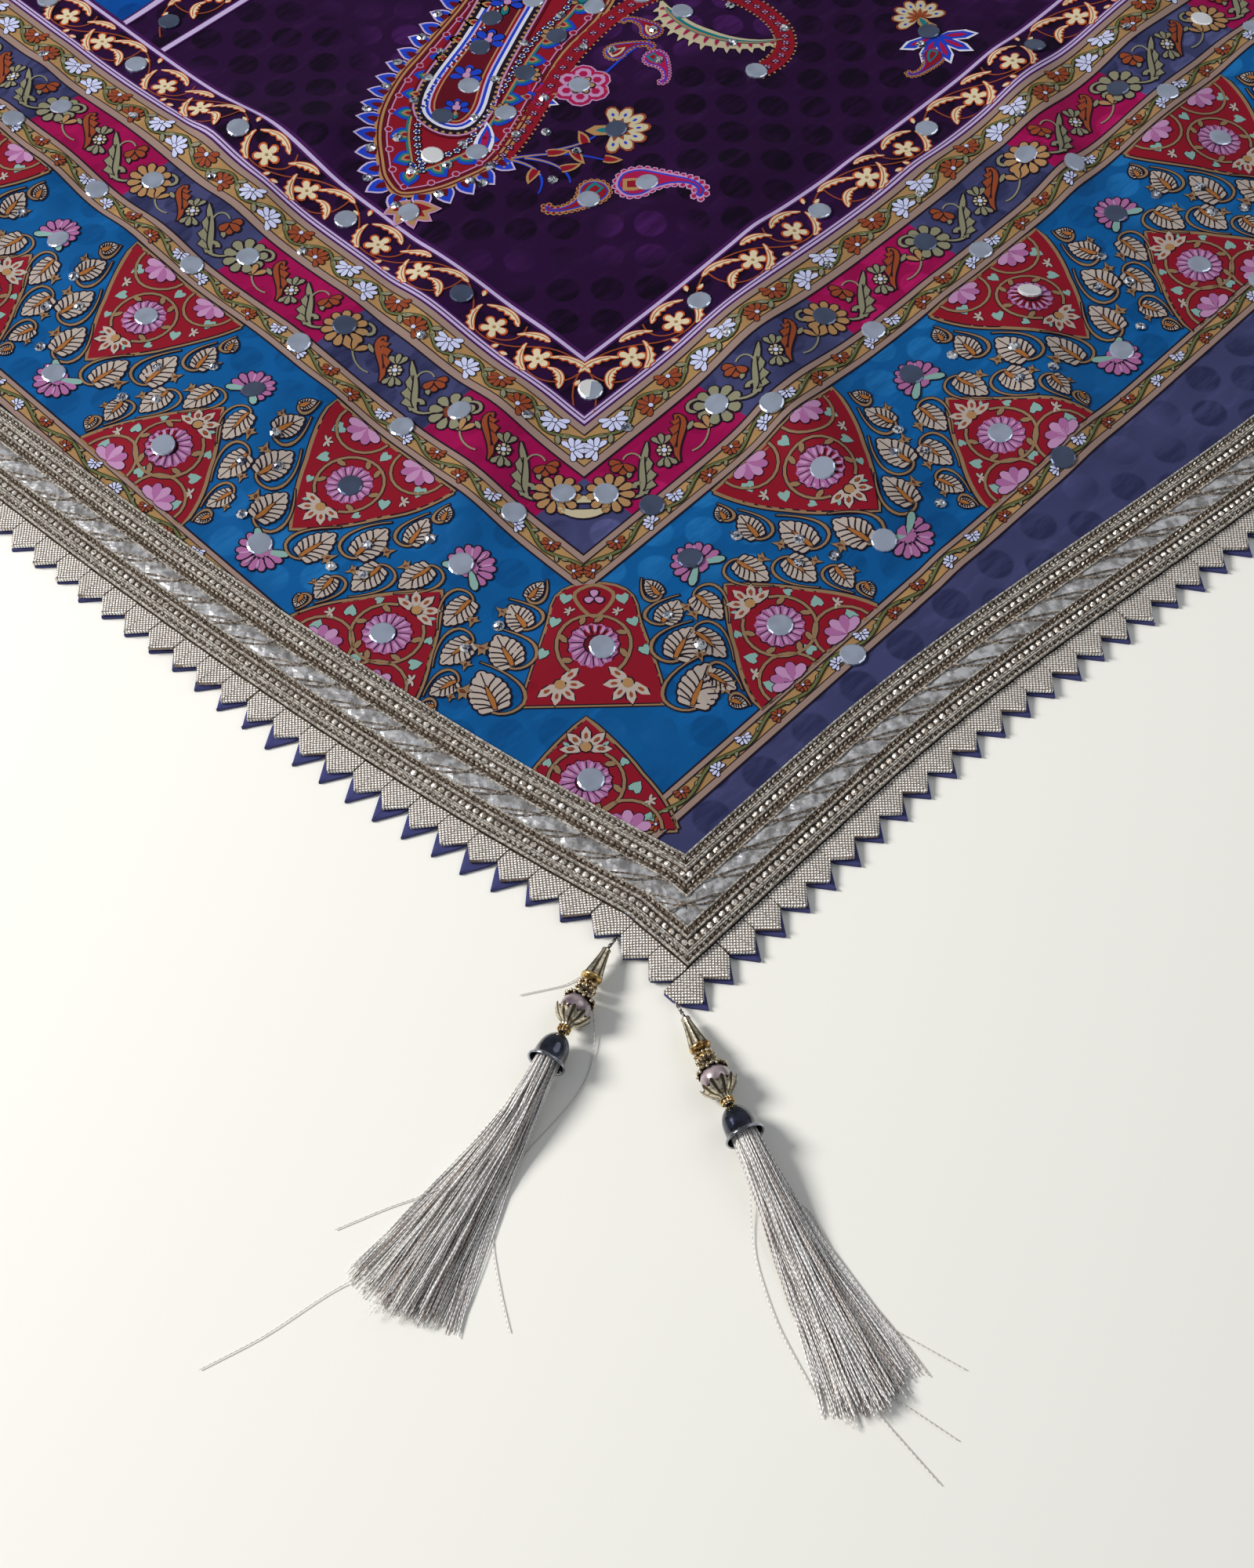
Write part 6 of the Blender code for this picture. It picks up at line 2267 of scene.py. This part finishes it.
def make_pearl(tassel, place, materials):
    heap = Heap()
    lathe(heap, place, ball_profile(PEARL_CENTRE, PEARL_RADIUS, 3, 177, 18), 0)
    piece = heap.build("pearl_" + tassel.name + "_looks", materials, uv_name="round")
    stand_in(piece, "pearl_" + tassel.name)


def make_bell(tassel, place, materials):
    """A smooth dome with a flared and rolled rim, open below."""
    heap = Heap()
    angle = np.radians(np.linspace(8, 84, 9))
    dome = [(0.0039 * math.sin(a), BELL_START + 0.0052 * (1 - math.cos(a))) for a in angle]
    skirt = [(0.0040, BELL_START + 0.0058), (0.0041, BELL_START + 0.0068), (0.0045, BELL_RIM - 0.0009)]
    lip = ((0.00475, 0.0007), (0.0049, 0.0003), (0.0047, 0.0), (0.0044, 0.0003))
    rim = [(radius, BELL_RIM - up) for radius, up in lip]
    inside = [(0.0038, BELL_RIM - 0.0018), (0.0036, BELL_START + 0.0040), (0.0005, BELL_START + 0.0034)]
    lathe(heap, place, dome + skirt, 0)
    # Slot 2 is the rim's lighter chrome, a painted highlight.
    lathe(heap, place, [skirt[-1], *rim], 2)
    # Slot 1 is the inside's darker chrome, painted shade.
    lathe(heap, place, [rim[-1], *inside], 1)
    piece = heap.build("bell_" + tassel.name + "_looks", materials, uv_name="round")
    stand_in(piece, "bell_" + tassel.name)


def strand_line(tassel, origin, root, end_across, end_height, length, sway, phase):
    """One thread of the fringe, from inside the bell to where it lies on the others or the floor."""
    share = np.linspace(-0.03, length, STRAND_STEPS)
    t = np.clip(share, 0, None)
    heading, turned = math.radians(tassel.heading), math.radians(tassel.fringe_heading)
    bend = smoothstep(t * 2)[:, None]
    along = (share * FRINGE_LENGTH)[:, None]
    ahead = np.array([math.cos(heading), math.sin(heading)]) * along * (1 - bend)
    ahead = ahead + np.array([math.cos(turned), math.sin(turned)]) * along * bend
    side = np.array([-math.sin(turned), math.cos(turned)])
    open_out = t**1.35
    across = root[0] * (1 - open_out) + end_across * open_out + sway * t * np.sin(phase + 5.2 * t)
    flat = np.array([origin.x, origin.y]) + ahead + side * across[:, None]
    sink = smoothstep(t * 1.9)
    height = (origin.z + root[1]) * (1 - sink) + end_height * sink
    return np.column_stack([flat, height])


def make_fringe(tassel, place, materials, rng):
    """The bundle of silvery threads: most run with it, some cross, and a few stray on the floor."""
    heap = Heap()
    origin = place @ Vector((0, 0, -BELL_RIM))
    kinds = rng.choice(len(materials), STRANDS, p=(0.46, 0.33, 0.14, 0.07))
    for k in range(STRANDS):
        turn = rng.uniform(0, 2 * math.pi)
        out = FRINGE_ROOTS * math.sqrt(rng.uniform(0, 1))
        root = (out * math.cos(turn), out * math.sin(turn))
        side_share = np.clip(root[0] / FRINGE_ROOTS + rng.normal(0, 0.33), -1.15, 1.15)
        end_across = side_share * tassel.spread / 2
        pile = 0.0042 * max(0.0, 1 - side_share**2) + 0.0004
        end_height = 0.00035 + pile * (0.5 + 0.5 * root[1] / FRINGE_ROOTS) * rng.uniform(0.5, 1.0)
        length = 1.0 - 0.05 * abs(side_share) + rng.normal(0, 0.022)
        line = strand_line(
            tassel, origin, root, end_across, end_height, length, rng.normal(0, 0.0009),
            rng.uniform(0, 6.3)
        )
        tube(heap, line, STRAND_RADIUS, int(kinds[k]), 3, 0.8, rng.uniform(0, 60))
    for stray in STRAYS[tassel.name]:
        line = smooth_line(stray, 18)
        x, y = metres(line[:, 0], line[:, 1])
        height = np.full(18, 0.0004)
        height[:6] += 0.0022 * (1 - np.arange(6) / 6) ** 2
        tube(heap, np.column_stack([x, y, height]), 0.00013, 1, 3)
    piece = heap.build("fringe_" + tassel.name + "_looks", materials, uv_name="strand")
    stand_in(piece, "fringe_" + tassel.name)


def cast_metal(name, light, dark, roughness, ribs=True):
    """Cast metal: lighter on the ribs, darker in the grooves and in random pits."""
    nodes = Nodes(name, light, roughness, 0.9)
    uv = nodes.uv("round")
    place = nodes.place()
    pits = nodes.noise(place, 900.0, 2.0)
    shade = nodes.between(pits, 0.38, 0.60)
    if ribs:
        groove = nodes.between(nodes.wave(nodes.mapped(uv, (1.0, 0.0, 1.0)), 0.314, "X"), 0.10, 0.60)
        shade = nodes.math("MULTIPLY", nodes.math("ADD", shade, 0.35), groove)
    nodes.paint(nodes.mix(shade, dark, light))
    nodes.gloss(pits, 0.3, 0.7, roughness + 0.12, roughness - 0.05)
    nodes.bump(pits, 0.5, 0.0001)
    return nodes.material


def pearl_skin():
    nodes = Nodes("pearl_skin", rgb(150, 132, 138), 0.22, 0.35, coat=1.0)
    place = nodes.place()
    cloudy = nodes.between(nodes.noise(place, 240.0, 2.0), 0.35, 0.65)
    nodes.paint(nodes.mix(cloudy, rgb(104, 88, 98), rgb(176, 158, 162)))
    nodes.gloss(cloudy, 0.0, 1.0, 0.18, 0.3)
    return nodes.material


def bell_chrome(name, colour, roughness):
    nodes = Nodes(name, colour, roughness, 0.95, coat=0.8)
    chrome_mottle = nodes.noise(nodes.place(), 330.0, 3.0)
    # Random patches where the chrome's colour is much lighter.
    nodes.paint(
        nodes.mix(
            nodes.between(chrome_mottle, 0.40, 0.66), colour, tuple(min(1.0, 2.6 * c + 0.02) for c in colour)
        )
    )
    nodes.gloss(chrome_mottle, 0.3, 0.7, roughness, roughness + 0.14)
    nodes.bump(chrome_mottle, 0.08, 0.0001)
    return nodes.material


def strand_thread(name, light, dark, metallic=0.15):
    """Silvery viscose thread: its twist shows in its bump and as short slants of painted highlight and
    shade.
    """
    nodes = Nodes(name, light, 0.4, metallic)
    uv = nodes.uv("strand")
    twist = nodes.wave(nodes.mapped(uv, (2.0, 1.0, 1.0)), 0.50, "DIAGONAL", 1.5)
    patch = nodes.noise(nodes.place(), 420.0, 2.0)
    # Painted highlight and shade along the twist's slants, with random patches of tone.
    share = nodes.between(nodes.math("ADD", twist, patch), 0.45, 1.25)
    nodes.paint(nodes.mix(share, dark, light))
    nodes.gloss(twist, 0.2, 0.8, 0.52, 0.30)
    nodes.bump(twist, 0.5, 0.0001)
    return nodes.material


make_camera()
make_studio()
GROUND_MATERIALS = [satin("ground_" + name, colour, dot) for name, (colour, dot) in GROUNDS.items()]
cloth = make_cloth("cloth_looks", 0.088, 0.17, lambda u, v: on_cloth(u, v, 0.0), GROUND_MATERIALS, True)
stand_in(cloth, "cloth_upper")


def floor_layer(u, v):
    return np.stack([*metres(u, v), np.full(u.shape, 0.0004)], -1)


under = make_cloth("cloth_lower_looks", 0.5, 0.8, floor_layer, GROUND_MATERIALS, False)
stand_in(under, "cloth_lower")


PRINT_MATERIALS = [ink("ink_" + name, colour) for name, colour in INKS.items()]
PRINT_RNG = np.random.default_rng(11)
PAGES = (
    "stripes", "vines_left", "vines_right", "vines_end", "blocks_left", "blocks_right", "blocks_end",
    "scrolls", "blue_left", "blue_right", "blue_end", "panel", "body",
)
pages = {name: Print() for name in PAGES}
spots = Spots(PRINT_RNG)
lay_stripes(pages)
lay_blocks(pages, spots)
lay_scrolls(pages, spots)
lay_kites(pages, spots)
lay_panel(pages, spots)
lay_body(pages, spots)
print_pieces = [page.build("print_" + name, PRINT_MATERIALS) for name, page in pages.items()]
# Painted reflections: pale, dark and lamp-lit glass, one chosen at random for each mirror.
MIRROR_GLASS = [
    mirror_glass("mirror_pale", rgb(206, 216, 236), 0.16),
    mirror_glass("mirror_dark", rgb(92, 104, 134), 0.12),
    mirror_glass("mirror_lit", rgb(255, 255, 255), 0.5),
]
# Painted glints and reflections: each facet takes bright, grey or dark glass at random.
CRYSTAL_GLASS = [
    crystal_glass("crystal_bright", rgb(250, 252, 255)),
    crystal_glass("crystal_grey", rgb(128, 134, 156)),
    crystal_glass("crystal_dark", rgb(34, 36, 52)),
]
MIRROR_PROFILE = ((1.07, -0.0002), (1.05, 0.00035), (0.93, 0.00056))
CRYSTAL_PROFILE = ((1.0, -0.0002), (1.0, 0.0002), (0.62, 0.0007), (0.22, 0.0010))
mirror_piece = rigid_bits(
    "mirrors", spots.mirrors, MIRROR_PROFILE, 14, MIRROR_RADIUS, 0.04, MIRROR_GLASS, (0.68, 0.27, 0.05),
    PRINT_RNG
)
crystal_piece = rigid_bits(
    "crystals", spots.crystals, CRYSTAL_PROFILE, 8, CRYSTAL_RADIUS, 0.08, CRYSTAL_GLASS,
    (0.46, 0.30, 0.24), PRINT_RNG, True
)

RNG = np.random.default_rng(7)
LACE_MATERIALS = [
    metal_thread("lace_backing", rgb(84, 72, 62), rgb(44, 36, 30), 900.0, 0.0, 0.7),
    metal_thread("lace_cord", rgb(206, 200, 190), rgb(112, 104, 96), 1500.0, 0.1, 0.5),
    metal_thread("lace_bright", rgb(255, 253, 248), rgb(158, 144, 128), 1300.0, 0.3, 0.32),
    metal_thread("lace_brown", rgb(228, 216, 200), rgb(108, 90, 76), 1500.0, 0.3, 0.36),
    metal_thread("lace_foil", rgb(182, 182, 185), rgb(126, 124, 124), 300.0, 0.3, 0.46),
]
GOTA = gota_mesh()
SLATE_TOOTH = ink("slate_tooth", rgb(64, 66, 112), 0.5)
for strip in STRIPS:
    make_lace(strip, LACE_MATERIALS, RNG)
    tooth_strip(strip, True, [GOTA], RNG)
    tooth_strip(strip, False, [SLATE_TOOTH], RNG)

METALS = [
    cast_metal("cast_silver", rgb(222, 212, 186), rgb(84, 72, 56), 0.24),
    cast_metal("cast_gold", rgb(226, 190, 122), rgb(110, 78, 42), 0.26, False),
    cast_metal("cast_dark", rgb(124, 112, 96), rgb(50, 42, 36), 0.34, False),
    cast_metal("cast_beads", rgb(236, 222, 192), rgb(120, 98, 70), 0.22, False),
]
PEARL_SKIN = pearl_skin()
# The rim's lighter chrome is a painted highlight; the inside's darker chrome is painted shade.
BELL_METALS = [
    bell_chrome("bell_chrome", rgb(26, 29, 44), 0.08),
    bell_chrome("bell_inside_painted_shade", rgb(18, 18, 24), 0.4),
    bell_chrome("bell_rim_painted_highlight", rgb(112, 114, 126), 0.14),
]
THREADS = [
    strand_thread("thread_silver", rgb(255, 254, 252), rgb(216, 210, 207)),
    strand_thread("thread_grey", rgb(240, 236, 233), rgb(184, 176, 173)),
    strand_thread("thread_fawn", rgb(208, 196, 187), rgb(144, 128, 119)),
    strand_thread("thread_shade", rgb(162, 149, 142), rgb(100, 86, 80)),
]
SEWING = [
    strand_thread("sewing_dark", rgb(72, 66, 66), rgb(30, 26, 28)),
    strand_thread("sewing_silver", rgb(206, 202, 198), rgb(110, 104, 100), 0.5)
]
for tassel in TASSELS:
    stack = tassel_place(tassel)
    make_thread(tassel, stack, SEWING)
    make_beads(tassel, stack, METALS)
    make_pearl(tassel, stack, [PEARL_SKIN])
    make_bell(tassel, stack, BELL_METALS)
    make_fringe(tassel, stack, THREADS, RNG)
